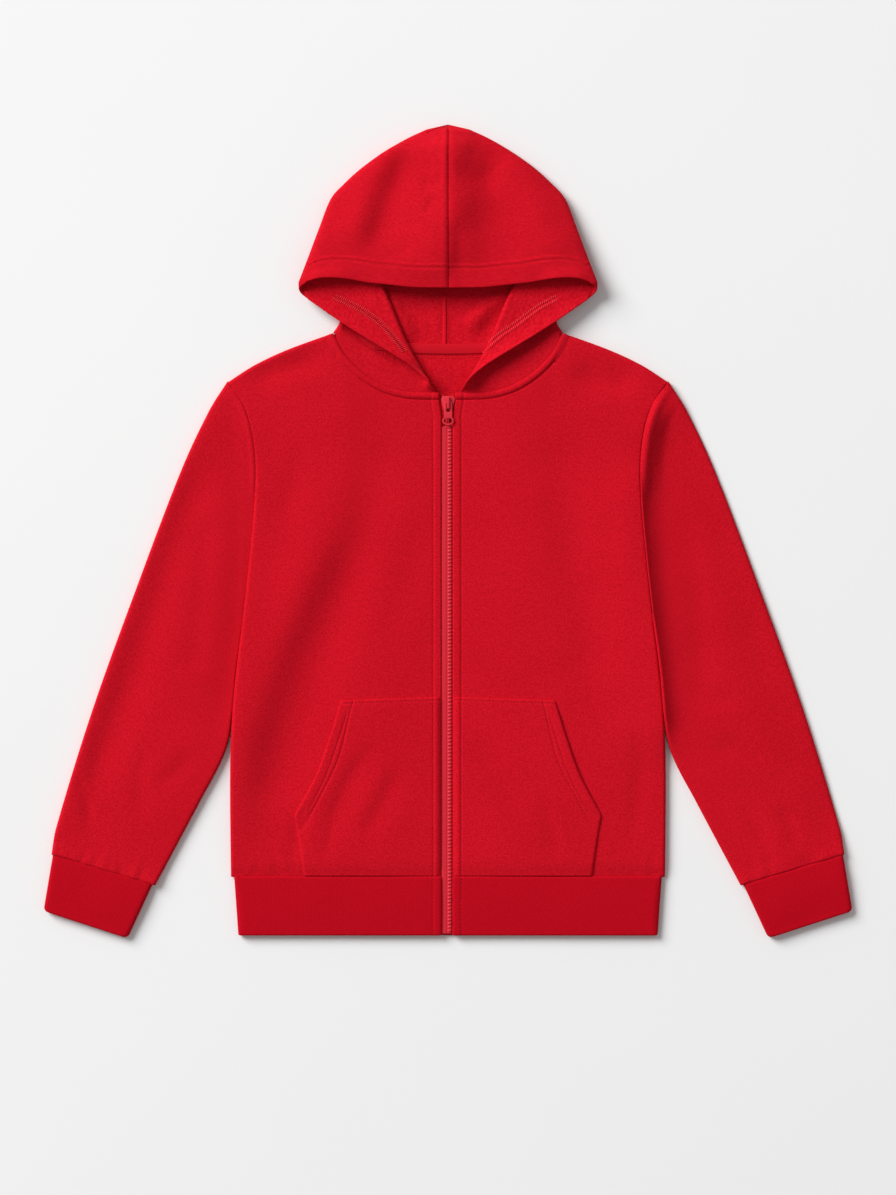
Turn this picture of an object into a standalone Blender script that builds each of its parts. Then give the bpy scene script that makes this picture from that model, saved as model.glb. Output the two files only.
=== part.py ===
"""A child's zip-front hoodie, laid flat on its back with the hood opened out above the neck.

The garment is built piece by piece as it is sewn: every panel is one wall of cloth, worked out
from the sizes and short tables below. Sizes are in millimetres. x runs across the garment from
the zip, y runs up towards the hood and z up from the surface that the garment lies on. Most
tables give the distance from the centre line first, so that one table serves both sides.
"""

import math

import bmesh
import bpy
from mathutils import Vector

MM = 0.001

# ---- Cloth and seams -------------------------------------------------------
CLOTH = 1.6             # brushed sweatshirt knit
RIB = 2.4               # rib knit, folded double
NECK_TAPE = 1.0
ZIP_TAPE = 0.8
SEAM = 0.4              # gap left between two pieces where they are sewn
FOLD_SEAM = 1.3         # gap between the middles of two walls that meet on a folded side
LAY = 0.3               # gap between a piece and the one that lies on it
FOLD = 2.4              # radius of a folded side, to the middle of the cloth
CUFF_FOLD = 2.3
HEM_FOLD = 2.0

# ---- Body, laid flat -------------------------------------------------------
HEM_SEAM = -303.6       # height on the garment of the seam above the hem rib
HEM_END = -354.4
HEM_HALF_TOP = 186.8
HEM_HALF_END = 183.2
ZIP_TOP = 121.4
ZIP_EDGE = {"right": 6.2, "left": 4.8}      # front edges, from the middle of the zip
ZIP_SPREAD = 2.0        # the edges part this much more beside the slider
SPREAD_FROM = ZIP_TOP - 22.0
SPREAD_OVER = 16.0
FRONT_AT_ZIP = 4.6      # height of the middle of the front's cloth, at the zip and at the side
FRONT_AT_SIDE = 5.6
FRONT_CROWN = 0.6       # the front's slight fullness between the two
FRONT_FLAT_TO = 70.0    # the front has risen to its side height this far from the zip
CROWN_HALF = 190.0
CROWN_RAMP = 60.0
BACK_LEVEL = CLOTH / 2

# Soft folds of the upper layer, each a trough along a line from (x0, y0) to (x1, y1).
FOLD_COLUMNS = ("x0", "y0", "x1", "y1", "width", "depth")
FOLD_LINES = (
    (-60.0, 55.0, -146.0, -220.0, 22.0, 1.6),
    (98.0, 58.0, 122.0, -112.0, 22.0, 1.2),
    (-213.0, -4.0, -222.0, -112.0, 11.0, 1.5),
    (212.0, 4.0, 224.0, -120.0, 11.0, 1.5),
    (-262.0, -112.0, -292.0, -214.0, 16.0, 0.9),
    (268.0, -96.0, 296.0, -206.0, 16.0, 0.9),
)

# Outlines as (distance from the centre line, height on the garment).
ARMHOLE = ((192.8, 130.4), (180.6, 113.0), (172.6, 90.0), (168.8, 60.0),
           (169.6, 25.0), (173.6, -20.0), (179.4, -74.0))
SIDE = ((179.4, -74.0), (185.4, -122.0), (189.2, -165.0), (190.8, -215.0), (190.2, HEM_SEAM))
SHOULDER = ((100.6, 173.4), (141.2, 158.6), (169.4, 145.4), (192.8, 130.4))
FRONT_NECK = ((0.0, 121.4), (20.0, 121.4), (38.7, 122.6), (58.0, 128.5),
              (76.6, 140.6), (92.0, 157.0), (100.6, 173.4))
BACK_NECK = ((0.0, 157.5), (30.0, 158.2), (60.0, 161.0), (84.0, 166.4), (100.6, 173.4))

# ---- Sleeves and cuffs -----------------------------------------------------
SLEEVE_OUTER = ((193.4, 130.8), (209.0, 106.0), (233.4, 54.0), (273.8, -52.0),
                (311.8, -157.5), (344.0, -262.0), (347.8, -284.2))
SLEEVE_INNER = ((181.6, -74.0), (188.0, -122.0), (192.0, -165.0), (198.0, -197.0),
                (218.2, -236.6), (257.8, -310.9))
CUFF_TOP = ((346.2, -285.1), (260.9, -310.5))
CUFF_END = ((354.3, -333.2), (282.3, -356.6))
SLEEVE_DIP = 0.5        # how far the sleeve's upper layer sinks between its folded sides
SLEEVE_CLEAR = 0.6      # gap between the sleeve and the armhole
UNDERARM_FROM = 0.8     # the sleeve leaves the armhole's line here

# ---- Hood ------------------------------------------------------------------
# Rows of the hood from the neck seam up to the corner where the opening's edge turns over the
# side. The cloth runs from the back seam out to the side fold, back in to the roll, and out
# again to the free edge. "turn" is how far the edge is rolled over, from flat to half a turn,
# and "neck" how closely the row follows the neck seam.
LAPEL_COLUMNS = ("back", "fold_x", "fold_y", "roll_x", "roll_y", "edge_x", "edge_y",
                 "edge_z", "turn", "neck")
LAPEL_ROWS = (
    (158.0, 100.0, 174.2, 10.4, 121.9, 12.4, 121.9, 7.0, 0.00, 1.00),
    (163.0, 96.6, 179.0, 16.6, 130.4, 20.5, 133.6, 12.0, 0.45, 0.85),
    (168.0, 94.4, 184.0, 23.4, 142.0, 28.5, 141.8, 13.0, 0.85, 0.60),
    (177.0, 93.6, 190.0, 31.4, 156.0, 41.5, 150.8, 13.0, 1.00, 0.30),
    (187.0, 95.0, 197.0, 38.4, 170.0, 66.9, 166.4, 13.0, 1.00, 0.10),
    (197.0, 99.0, 204.0, 44.5, 185.0, 94.2, 183.8, 12.0, 1.00, 0.00),
    (207.0, 105.0, 211.0, 50.5, 200.0, 122.4, 203.6, 10.0, 1.00, 0.00),
)
# Rows from that corner up to the top of the hood, where the cloth also folds over the rim and
# comes back over itself to the crown seam. "depth" is how much of the lower fold is left.
CROWN_COLUMNS = ("back", "fold_x", "fold_y", "roll_x", "roll_y", "rim_x", "rim_y",
                 "crown", "crown_z", "depth")
CROWN_ROWS = (
    (216.0, 110.0, 217.0, 57.0, 214.0, 130.2, 218.0, 213.4, 19.5, 1.00),
    (235.0, 103.0, 236.0, 66.0, 236.0, 122.4, 238.5, 232.0, 19.2, 0.80),
    (258.0, 95.0, 260.0, 74.0, 260.0, 112.6, 264.9, 257.0, 18.4, 0.45),
    (284.0, 84.0, 286.0, 76.0, 286.0, 102.4, 291.0, 284.0, 17.0, 0.15),
    (301.0, 74.0, 302.0, 70.0, 302.0, 90.6, 304.6, 301.0, 15.7, 0.00),
    (316.0, 60.0, 316.0, 58.0, 316.0, 76.6, 317.4, 316.0, 14.0, 0.00),
    (330.0, 44.0, 330.0, 43.0, 330.0, 58.8, 330.4, 330.0, 12.0, 0.00),
    (341.5, 26.0, 342.0, 25.0, 342.0, 37.2, 343.4, 342.0, 9.5, 0.00),
    (350.0, 12.0, 350.0, 11.0, 350.0, 18.6, 352.2, 350.6, 8.0, 0.00),
)
HOOD_TOP = 356.5
BRIM = ((0.0, 213.4), (30.0, 214.2), (51.0, 216.6), (70.0, 218.8), (90.6, 222.2),
        (111.8, 222.8), (130.2, 218.0))
ROLL = 2.7              # radius of the rolled edge
RIM = 3.2               # radius of the fold over the rim
LAPEL_LEVEL = 8.8       # height of the inner face's layer where it reaches the rim
MIDDLE_RISE = 0.8       # the middle layer rises this much from the side fold to the roll
NECK_CLEAR = 0.6        # gap between the hood and the front at the neck seam
LEAST_TURN = 0.02       # stands for a flat edge
BRIM_SHARE = 3.0        # the brim's line fades out over a third of the crown

# ---- Pockets, tape and zip -------------------------------------------------
POCKET_TOP = ((8.6, -146.4), (93.7, -149.3))
POCKET_MOUTH = ((93.7, -149.3), (103.6, -181.3), (116.0, -215.6), (134.6, -250.0))
POCKET_SIDE = ((134.6, -250.0), (131.6, -266.0), (126.3, -302.6))
POCKET_LIFT = 1.2       # the mouth's edge stands this much higher
POCKET_LIFT_EASE = 5    # the lift stays close to the mouth
POCKET_LAY = 0.4        # gap between the pocket and the front under it
TAPE_HALF = 84.0
TAPE_ABOVE = 6.4
TAPE_BELOW = 1.6
CHAIN_HALF = 3.2
CHAIN_DEPTH = 2.3
ZIP_TAPE_WIDTH = 12.0
ZIP_TAPE_LEVEL = 3.1    # height of the middle of the zip's tapes
ZIP_END = HEM_END + 0.6
TAPE_TOP = ZIP_TOP - 1.0
SLIDER_TOP = 118.6
SLIDER_LENGTH = 12.0
SLIDER_HALF_TOP = 6.1
SLIDER_HALF_END = 3.9
SLIDER_CORNER = 1.2
SLIDER_CORNER_LENGTH = 3.0
SLIDER_FLOOR = 1.9
SLIDER_PLATE = 0.5      # thickness of the plate under the tapes
SLIDER_POST_HALF = 1.6
LAP = 0.1               # bars of the slider end this much inside one another
SLIDER_ROOF = 6.2
BRIDGE_HALF = 1.2
BRIDGE_RISE = 3.3
BRIDGE_SPAN = 10.0
BRIDGE_BAR = 1.2
PULL_AXIS_RISE = 1.1    # height of the pull's pin above the slider
PULL_THICK = 1.2
PULL_HALF = 3.6
PULL_WINDOW_HALF = 1.7
PULL_WINDOW = 8.0
PULL_LENGTH = 19.8
PULL_EYE_HALF = 5.1     # half width and half height of the oval eye at the pull's end
PULL_EYE_RISE = 4.0
PULL_HOLE_HALF = 3.7
PULL_HOLE_RISE = 2.5
EYE_FROM = 0.25 * math.pi
CUTTER_OVER = 1.0

# ---- Mesh density ----------------------------------------------------------
ARC_STEPS = 3
NECK_COLUMNS = 6
SHOULDER_COLUMNS = 5
ARMHOLE_ROWS = 7
SIDE_ROWS = 6
SLEEVE_RUN = 7
SLEEVE_ROWS = 14
HEM_RUN = 8
CUFF_RUN = 4
BAND_ROWS = 2
TAPE_RUN = 16
POCKET_MOUTH_ROWS = 6
POCKET_SIDE_ROWS = 2
POCKET_RUN = 7
EYE_STEPS = 12
HOLE_STEPS = 16
HOOD_ARC = 4
FLOOR_RUN = 4
MIDDLE_RUN = 5
LAPEL_RUN = 4
UPPER_RUN = 7
LAPEL_LINES = 9
CROWN_LINES = 10
LENGTH_STEPS = 20
SIDE_RAMP = 0.02        # the folded side begins over this share of the panel's height
SHOULDER_RAMP = 0.04
SLOPE_STEP = 0.01
SEARCH_STEP = 0.002

SIDES = {"right": -1, "left": 1}    # the wearer's sides


# ---- Curves ----------------------------------------------------------------
def mix(a, b, t):
    """Point or number between a and b."""
    if isinstance(a, (int, float)):
        return a + (b - a) * t
    return tuple(x + (y - x) * t for x, y in zip(a, b))


def smooth(t):
    """Soft step from 0 to 1."""
    t = min(max(t, 0.0), 1.0)
    return t * t * (3.0 - 2.0 * t)


def hermite(points, knots, s):
    """Smooth curve through points at the given knots, read at s."""
    last = len(points) - 1
    i = 0
    while i < last - 1 and s > knots[i + 1]:
        i += 1

    def slope(k):
        lo = max(k - 1, 0)
        hi = min(k + 1, last)
        return tuple((b - a) / (knots[hi] - knots[lo]) for a, b in zip(points[lo], points[hi]))

    span = knots[i + 1] - knots[i]
    u = (s - knots[i]) / span
    start = 2 * u ** 3 - 3 * u ** 2 + 1
    leave = u ** 3 - 2 * u ** 2 + u
    reach = u ** 3 - u ** 2
    return tuple(start * a + leave * span * m + (1 - start) * b + reach * span * n
                 for a, m, b, n in zip(points[i], slope(i), points[i + 1], slope(i + 1)))


def curve(points):
    """Function of 0 to 1 along a smooth curve through points, by length."""
    knots = [0.0]
    for a, b in zip(points, points[1:]):
        knots.append(knots[-1] + math.dist(a, b))
    return lambda t: hermite(points, knots, t * knots[-1])


def joined(first, second):
    """Two curves that meet in a corner, as one function of 0 to 1, and the corner's place on it."""
    lengths = []
    for part in (first, second):
        places = [part(i / LENGTH_STEPS) for i in range(LENGTH_STEPS + 1)]
        lengths.append(sum(math.dist(a, b) for a, b in zip(places, places[1:])))
    corner = lengths[0] / sum(lengths)

    def both(t):
        if t <= corner:
            return first(t / corner)
        return second((t - corner) / (1 - corner))

    return both, corner


def height_on(points, x):
    """Height y of an outline, given as (x, y) with x rising, at x."""
    knots = [p[0] for p in points]
    x = min(max(x, knots[0]), knots[-1])
    return hermite(points, knots, x)[1]


def coons(top, bottom, inner, outer, s, t):
    """Point of a patch between four edges: s runs from inner to outer, t from top to bottom."""
    across = mix(top(s), bottom(s), t)
    along = mix(inner(t), outer(t), s)
    corners = mix(mix(top(0), top(1), s), mix(bottom(0), bottom(1), s), t)
    return tuple(a + b - c for a, b, c in zip(across, along, corners))


def stepped(stops, counts):
    """Values from the first stop to the last, with a count of steps between each two."""
    values = [stops[0]]
    for lo, hi, count in zip(stops, stops[1:], counts):
        values += [mix(lo, hi, i / count) for i in range(1, count + 1)]
    return values


def edge_steps(radius, length, gap):
    """Steps into a quarter fold: (place before the edge as a share of length, drop)."""
    limit = math.acos(min(1.0, gap / 2 / radius))
    steps = []
    for k in range(ARC_STEPS + 1):
        angle = limit * k / ARC_STEPS
        steps.append((radius * (1 - math.sin(angle)) / length, radius * (1 - math.cos(angle))))
    return steps


# ---- Meshes ----------------------------------------------------------------
def material(name, colour, roughness, metallic=0.0):
    """Plain Principled material."""
    made = bpy.data.materials.new(name)
    made.use_nodes = True
    shader = made.node_tree.nodes["Principled BSDF"]
    shader.inputs["Base Color"].default_value = (*colour, 1.0)
    shader.inputs["Roughness"].default_value = roughness
    shader.inputs["Metallic"].default_value = metallic
    return made


def add_object(name, mesh, finish):
    """Object of the garment's collection, with its material."""
    mesh.materials.append(finish)
    made = bpy.data.objects.new(name, mesh)
    bpy.data.collections["kids_hoodie"].objects.link(made)
    return made


def cloth_wall(name, rows, thickness, finish, closed=False):
    """Wall of cloth around the surface through rows of points.

    A row may be longer than the next, and a row of one point closes the surface in a pole.
    """
    bm = bmesh.new()
    verts = [[bm.verts.new([c * MM for c in point]) for point in row] for row in rows]
    for upper, lower in zip(verts, verts[1:]):
        if len(lower) == 1:
            for a, b in zip(upper, upper[1:]):
                bm.faces.new((a, b, lower[0]))
            continue
        count = min(len(upper), len(lower))
        for j in range(count if closed else count - 1):
            k = (j + 1) % count
            bm.faces.new((upper[j], upper[k], lower[k], lower[j]))
    mesh = bpy.data.meshes.new(name)
    bm.to_mesh(mesh)
    bm.free()
    mesh.shade_smooth()
    made = add_object(name, mesh, finish)
    wall = made.modifiers.new("Wall", "SOLIDIFY")
    wall.thickness = thickness * MM
    wall.offset = 0.0
    return made


def block(name, outline, low, high, finish):
    """Upright solid on an outline of (x, y) points."""
    bm = bmesh.new()
    face = bm.faces.new([bm.verts.new((x * MM, y * MM, low * MM)) for x, y in outline])
    face.normal_update()
    if face.normal.z > 0:
        face.normal_flip()
    made = bmesh.ops.extrude_face_region(bm, geom=[face])
    top = [v for v in made["geom"] if isinstance(v, bmesh.types.BMVert)]
    bmesh.ops.translate(bm, verts=top, vec=Vector((0, 0, (high - low) * MM)))
    bmesh.ops.recalc_face_normals(bm, faces=bm.faces)
    mesh = bpy.data.meshes.new(name)
    bm.to_mesh(mesh)
    bm.free()
    return add_object(name, mesh, finish)


# ---- Body ------------------------------------------------------------------
def fold_depth(x, y):
    """Depth of the soft folds at a place on the garment."""
    depth = 0.0
    for line in FOLD_LINES:
        fold = dict(zip(FOLD_COLUMNS, line))
        run = (fold["x1"] - fold["x0"], fold["y1"] - fold["y0"])
        along = ((x - fold["x0"]) * run[0] + (y - fold["y0"]) * run[1]) / (run[0] ** 2 + run[1] ** 2)
        along = min(max(along, 0.0), 1.0)
        aside = math.dist((x, y), (fold["x0"] + run[0] * along, fold["y0"] + run[1] * along))
        depth += fold["depth"] * math.exp(-(aside / fold["width"]) ** 2)
    return depth


def front_level(x, y):
    """Height of the middle of the front's cloth."""
    a = abs(x)
    fullness = math.sin(math.pi * min(a / CROWN_HALF, 1.0)) * smooth((y - HEM_SEAM) / CROWN_RAMP)
    flat = mix(FRONT_AT_ZIP, FRONT_AT_SIDE, smooth(a / FRONT_FLAT_TO))
    return flat + FRONT_CROWN * fullness - fold_depth(x, y)


def zip_edge_at(inner, y):
    """Distance of a front's edge from the middle of the zip, wider beside the slider."""
    return inner + ZIP_SPREAD * smooth((y - SPREAD_FROM) / SPREAD_OVER)


def panel_edges(neck, inner):
    """Top, bottom, inner and outer edge of half a body panel, and its two corners."""
    top, neck_point = joined(curve(neck), curve(SHOULDER))
    outer, underarm = joined(curve(ARMHOLE), curve(SIDE))
    foot = ((inner, HEM_SEAM), SIDE[-1])

    def front_edge(t):
        y = mix(top(0)[1], HEM_SEAM, t)
        return (zip_edge_at(inner, y) if inner else 0.0, y)

    edges = {
        "top": top,
        "outer": outer,
        "bottom": lambda s: mix(foot[0], foot[1], s),
        "inner": front_edge,
    }
    return edges, neck_point, underarm


def half_panel(neck, inner, side, level, fold_sign):
    """Rows of points of half a body panel, its side and shoulder turned towards the other layer.

    level gives the height of the flat cloth, fold_sign is 1 where the edge turns up.
    """
    edges, neck_point, underarm = panel_edges(neck, inner)
    turns_out = edge_steps(FOLD, SIDE[-1][0] - inner, FOLD_SEAM)
    turns_up = edge_steps(FOLD, ZIP_TOP - HEM_SEAM, FOLD_SEAM)
    flat_s = stepped((0.0, neck_point, 1 - turns_out[0][0]), (NECK_COLUMNS, SHOULDER_COLUMNS))
    flat_t = stepped((turns_up[0][0], underarm, 1.0), (ARMHOLE_ROWS, SIDE_ROWS))
    columns = [(s, 0.0) for s in flat_s[:-1]] + [(1 - place, drop) for place, drop in turns_out]
    lines = [(place, drop) for place, drop in reversed(turns_up)] + [(t, 0.0) for t in flat_t[1:]]
    rows = []
    for t, shoulder_drop in lines:
        side_share = smooth((t - underarm) / SIDE_RAMP)
        row = []
        for s, side_drop in columns:
            a, y = coons(edges["top"], edges["bottom"], edges["inner"], edges["outer"], s, t)
            shoulder_share = smooth((s - neck_point) / SHOULDER_RAMP)
            drop = max(side_drop * side_share, shoulder_drop * shoulder_share)
            row.append((side * a, y, level(side * a, y) + fold_sign * drop))
        rows.append(row)
    return rows


def build_front(label, side, finish):
    """One front, from the zip to the side seam."""
    edge = ZIP_EDGE[label]
    neck = ((zip_edge_at(edge, ZIP_TOP), ZIP_TOP), *FRONT_NECK[1:])
    cloth_wall("front_" + label, half_panel(neck, edge, side, front_level, -1), CLOTH, finish)


def build_back(finish):
    """The back, in one panel from side to side, flat on the surface."""
    halves = [half_panel(BACK_NECK, 0.0, side, lambda x, y: BACK_LEVEL, 1) for side in (-1, 1)]
    rows = [list(reversed(right))[:-1] + left for right, left in zip(*halves)]
    cloth_wall("back_panel", rows, CLOTH, finish)


def build_hem(finish):
    """Hem rib: one band from zip edge to zip edge, round both sides and across the back."""
    rows = []
    for line in range(BAND_ROWS + 1):
        t = line / BAND_ROWS
        y = mix(HEM_SEAM - SEAM, HEM_END, t)
        half = mix(HEM_HALF_TOP, HEM_HALF_END, t)
        low = RIB / 2
        high = low + 2 * HEM_FOLD
        row = []
        for side, start in ((-1, ZIP_EDGE["right"]), (1, ZIP_EDGE["left"])):
            run = [(side * mix(start, half - HEM_FOLD, i / HEM_RUN), y, high) for i in range(HEM_RUN)]
            for k in range(2 * ARC_STEPS + 1):
                angle = math.pi * k / (2 * ARC_STEPS)
                out = half - HEM_FOLD + HEM_FOLD * math.sin(angle)
                run.append((side * out, y, low + HEM_FOLD + HEM_FOLD * math.cos(angle)))
            run += [(side * mix(half - HEM_FOLD, 0.0, i / HEM_RUN), y, low) for i in range(1, HEM_RUN)]
            row.append(run)
        rows.append(row[0] + [(0.0, y, low)] + list(reversed(row[1])))
    cloth_wall("hem_rib", rows, RIB, finish)


# ---- Sleeves ---------------------------------------------------------------
def flat_tube_ring(outer, inner, path, radius, thickness, run, dip=0.0):
    """Ring of a flattened tube between two folded sides.

    path gives the plan point at a share of the way from outer to inner.
    """
    width = math.dist(outer, inner)
    fold = radius / width
    low = thickness / 2
    mid = low + radius
    ring = []
    for i in range(run + 1):
        share = mix(fold, 1 - fold, i / run)
        ring.append((*path(share), mid + radius - dip * math.sin(math.pi * i / run)))
    arc = 2 * ARC_STEPS
    for k in range(1, arc):
        angle = math.pi * k / arc
        ring.append((*path(1 - fold + fold * math.sin(angle)), mid + radius * math.cos(angle)))
    for i in range(run + 1):
        ring.append((*path(mix(1 - fold, fold, i / run)), low))
    for k in range(1, arc):
        angle = math.pi * k / arc
        ring.append((*path(fold - fold * math.sin(angle)), mid - radius * math.cos(angle)))
    return ring


def mirrored(ring, side, folded=False):
    """Ring on its side of the garment, its upper layer sunk into the soft folds."""
    placed = [(side * a, y, z) for a, y, z in ring]
    if folded:
        top = max(z for x, y, z in placed)
        placed = [(x, y, z - fold_depth(x, y) * smooth((z - BACK_LEVEL) / (top - BACK_LEVEL)))
                  for x, y, z in placed]
    return placed


def build_sleeve(label, side, finish):
    """Sleeve: a flattened tube from the armhole seam to the cuff seam."""
    armhole = curve(ARMHOLE)
    outer = curve(SLEEVE_OUTER)
    inner = curve(SLEEVE_INNER)

    def head(s):
        a, y = armhole(s)
        underarm = smooth((s - UNDERARM_FROM) / (1 - UNDERARM_FROM))
        return (a + mix(SLEEVE_CLEAR, SLEEVE_INNER[0][0] - ARMHOLE[-1][0], underarm), y)

    def foot(s):
        return mix(outer(1), inner(1), s)

    rings = []
    for i in range(SLEEVE_ROWS + 1):
        t = i / SLEEVE_ROWS
        dip = SLEEVE_DIP * math.sin(math.pi * t)
        rings.append(mirrored(flat_tube_ring(outer(t), inner(t),
                                             lambda s: coons(head, foot, outer, inner, s, t),
                                             FOLD, CLOTH, SLEEVE_RUN, dip), side, folded=True))
    cloth_wall("sleeve_" + label, rings, CLOTH, finish, closed=True)


def build_cuff(label, side, finish):
    """Cuff: a short double-rib tube, a little narrower than the sleeve."""
    rings = []
    for line in range(BAND_ROWS + 1):
        t = line / BAND_ROWS
        outer = mix(CUFF_TOP[0], CUFF_END[0], t)
        inner = mix(CUFF_TOP[1], CUFF_END[1], t)
        ring = flat_tube_ring(outer, inner, lambda s: mix(outer, inner, s), CUFF_FOLD, RIB, CUFF_RUN)
        rings.append(mirrored(ring, side))
    cloth_wall("cuff_" + label, rings, RIB, finish, closed=True)


# ---- Hood ------------------------------------------------------------------
def table_at(columns, table, t):
    """Row of a table at t, 0 at its first row and 1 at its last, by column name."""
    knots = [float(i) for i in range(len(table))]
    return dict(zip(columns, hermite(table, knots, t * knots[-1])))


def turned(tip, heading, radius, z, steps):
    """Points of a half-turn fold: out to tip along heading, rising from z by twice the radius."""
    points = []
    for k in range(steps + 1):
        angle = math.pi * k / steps
        out = radius * (math.sin(angle) - 1)
        points.append((tip[0] + heading[0] * out, tip[1] + heading[1] * out,
                       z + radius * (1 - math.cos(angle))))
    return points


def heading(start, end):
    """Unit direction in plan."""
    length = math.dist(start, end)
    return ((end[0] - start[0]) / length, (end[1] - start[1]) / length)


def even(start, end, count):
    """count points from start to end, ends included."""
    return [mix(start, end, i / (count - 1)) for i in range(count)]


def inset_seam(points, inset):
    """Function of 0 to 1 along an outline, moved aside towards the neck opening."""
    along = curve(points)

    def at(t):
        ahead = along(min(t + SLOPE_STEP, 1.0))
        behind = along(max(t - SLOPE_STEP, 0.0))
        way = heading(behind, ahead)
        x, y = along(t)
        return (x - way[1] * inset, y + way[0] * inset)

    return at


def middle_path(row):
    """Plan path from the side fold to the roll, bowed like the neck seam near it."""
    seam = inset_seam(FRONT_NECK, NECK_CLEAR)
    near = 1.0
    while seam(near)[0] > row["roll_x"] and near > 0.0:
        near -= SEARCH_STEP
    fold = (row["fold_x"], row["fold_y"])
    roll = (row["roll_x"], row["roll_y"])

    def at(share):
        bowed = seam(mix(1.0, near, share))
        chord = mix(seam(1.0), seam(near), share)
        straight = mix(fold, roll, share)
        return tuple(p + (b - c) * row["neck"] for p, b, c in zip(straight, bowed, chord))

    return at


def rolled_edge(row, path, start_z, target):
    """Points from the side fold to the free edge: the middle layer, the roll and the lapel.

    target is the lapel's far point, which it reaches where the edge is fully turned over.
    """
    turn = max(row["turn"], LEAST_TURN)
    bend = math.pi * turn
    radius = ROLL / turn
    tip = path(1.0)
    inward = heading(path(1.0 - 5 * SLOPE_STEP), tip)
    lapel = math.dist(tip, target[:2])
    reach = radius
    if bend < math.pi / 2:
        reach = radius * math.sin(bend) + lapel * math.cos(bend)
    share = 1 - reach / math.dist(path(0.0), tip)
    points = []
    for i in range(1, MIDDLE_RUN + 1):
        place = path(share * i / MIDDLE_RUN)
        settled = start_z + MIDDLE_RISE * i / MIDDLE_RUN
        seamed = front_level(place[0], place[1])
        points.append((*place, mix(settled, seamed, row["neck"] ** 2)))
    origin = points[-1]
    for k in range(1, HOOD_ARC + 1):
        angle = bend * k / HOOD_ARC
        out = radius * math.sin(angle)
        points.append((origin[0] + inward[0] * out, origin[1] + inward[1] * out,
                       origin[2] + radius * (1 - math.cos(angle))))
    end = points[-1]
    outward = heading(end[:2], target[:2]) if turn > 0.5 else (-inward[0], -inward[1])
    way = mix(inward, (-outward[0], -outward[1]), smooth(turn))
    flat = math.cos(bend) * lapel
    free = (end[0] + way[0] * flat, end[1] + way[1] * flat, end[2] + math.sin(bend) * lapel)
    settled = smooth((turn - 0.5) * 2)
    free = mix(free, target, settled)
    points += [mix(end, free, i / LAPEL_RUN) for i in range(1, LAPEL_RUN + 1)]
    return points


def lower_layers(row, target):
    """Points from the back seam, round the side fold and the roll, to target."""
    fold = (row["fold_x"], row["fold_y"])
    back = (0.0, row["back"])
    side = turned(fold, heading(back, fold), FOLD, BACK_LEVEL, HOOD_ARC)
    run = even((*back, BACK_LEVEL), side[0], FLOOR_RUN + 1)
    if row["neck"] > 0.0:
        bow = [height_on(BACK_NECK, x) - mix(BACK_NECK[0][1], BACK_NECK[-1][1], x / BACK_NECK[-1][0])
               for x, y, z in run]
        run = [(x, y + b * row["neck"], z) for (x, y, z), b in zip(run, bow)]
    return run + side[1:] + rolled_edge(row, middle_path(row), side[-1][2], target)


def lapel_row(row):
    """Row from the back seam to the free edge."""
    return lower_layers(row, (row["edge_x"], row["edge_y"], row["edge_z"]))


def crown_row(row, rim_heading, brim):
    """Row that goes on over the rim to the crown seam. brim is 1 on the opening's edge."""
    rim = (row["rim_x"], row["rim_y"])
    rim_low = mix(BACK_LEVEL, LAPEL_LEVEL, row["depth"])
    over = turned(rim, rim_heading, RIM, rim_low, HOOD_ARC)
    back = (0.0, row["back"], BACK_LEVEL)
    row = dict(row, turn=1.0, neck=0.0)
    count = FLOOR_RUN + HOOD_ARC + MIDDLE_RUN + HOOD_ARC + LAPEL_RUN + 1
    lower = even(back, over[0], count)
    if row["depth"] > 0.0:
        folded = lower_layers(row, (*over[0][:2], LAPEL_LEVEL))
        lower = [mix(p, q, row["depth"]) for p, q in zip(lower, folded)]
    upper = []
    for i in range(1, UPPER_RUN + 1):
        share = i / UPPER_RUN
        x = mix(over[-1][0], 0.0, share)
        rise = math.sin(math.pi / 2 * share)
        straight = mix(over[-1][1], row["crown"], share)
        bow = height_on(BRIM, x) - mix(BRIM[0][1], BRIM[-1][1], x / BRIM[-1][0])
        upper.append((x, straight + bow * brim, mix(over[-1][2], row["crown_z"], rise)))
    return lower + over[1:] + upper


def build_hood(label, side, finish):
    """Half the hood, from the neck seam to its top."""
    rows = []
    for i in range(LAPEL_LINES):
        rows.append(lapel_row(table_at(LAPEL_COLUMNS, LAPEL_ROWS, i / (LAPEL_LINES - 1))))
    for i in range(CROWN_LINES):
        t = i / (CROWN_LINES - 1)
        row = table_at(CROWN_COLUMNS, CROWN_ROWS, t)
        ahead = table_at(CROWN_COLUMNS, CROWN_ROWS, min(t + SLOPE_STEP, 1.0))
        behind = table_at(CROWN_COLUMNS, CROWN_ROWS, max(t - SLOPE_STEP, 0.0))
        along = heading((behind["rim_x"], behind["rim_y"]), (ahead["rim_x"], ahead["rim_y"]))
        rows.append(crown_row(row, (along[1], -along[0]), 1 - smooth(t * BRIM_SHARE)))
    rows.append([(0.0, HOOD_TOP, BACK_LEVEL + RIM)])
    gap = SEAM / 2
    placed = [[(side * (x + gap), y, z) for x, y, z in row] for row in rows]
    cloth_wall("hood_" + label, placed, CLOTH, finish)


def build_neck_tape(finish):
    """Tape over the back neck seam, on the inside."""
    rows = []
    level = CLOTH + LAY + NECK_TAPE / 2
    for across in (TAPE_ABOVE, -TAPE_BELOW):
        row = []
        for i in range(TAPE_RUN + 1):
            x = mix(-TAPE_HALF, TAPE_HALF, i / TAPE_RUN)
            row.append((x, height_on(BACK_NECK, abs(x)) + across, level))
        rows.append(row)
    cloth_wall("neck_tape", rows, NECK_TAPE, finish)


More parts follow.
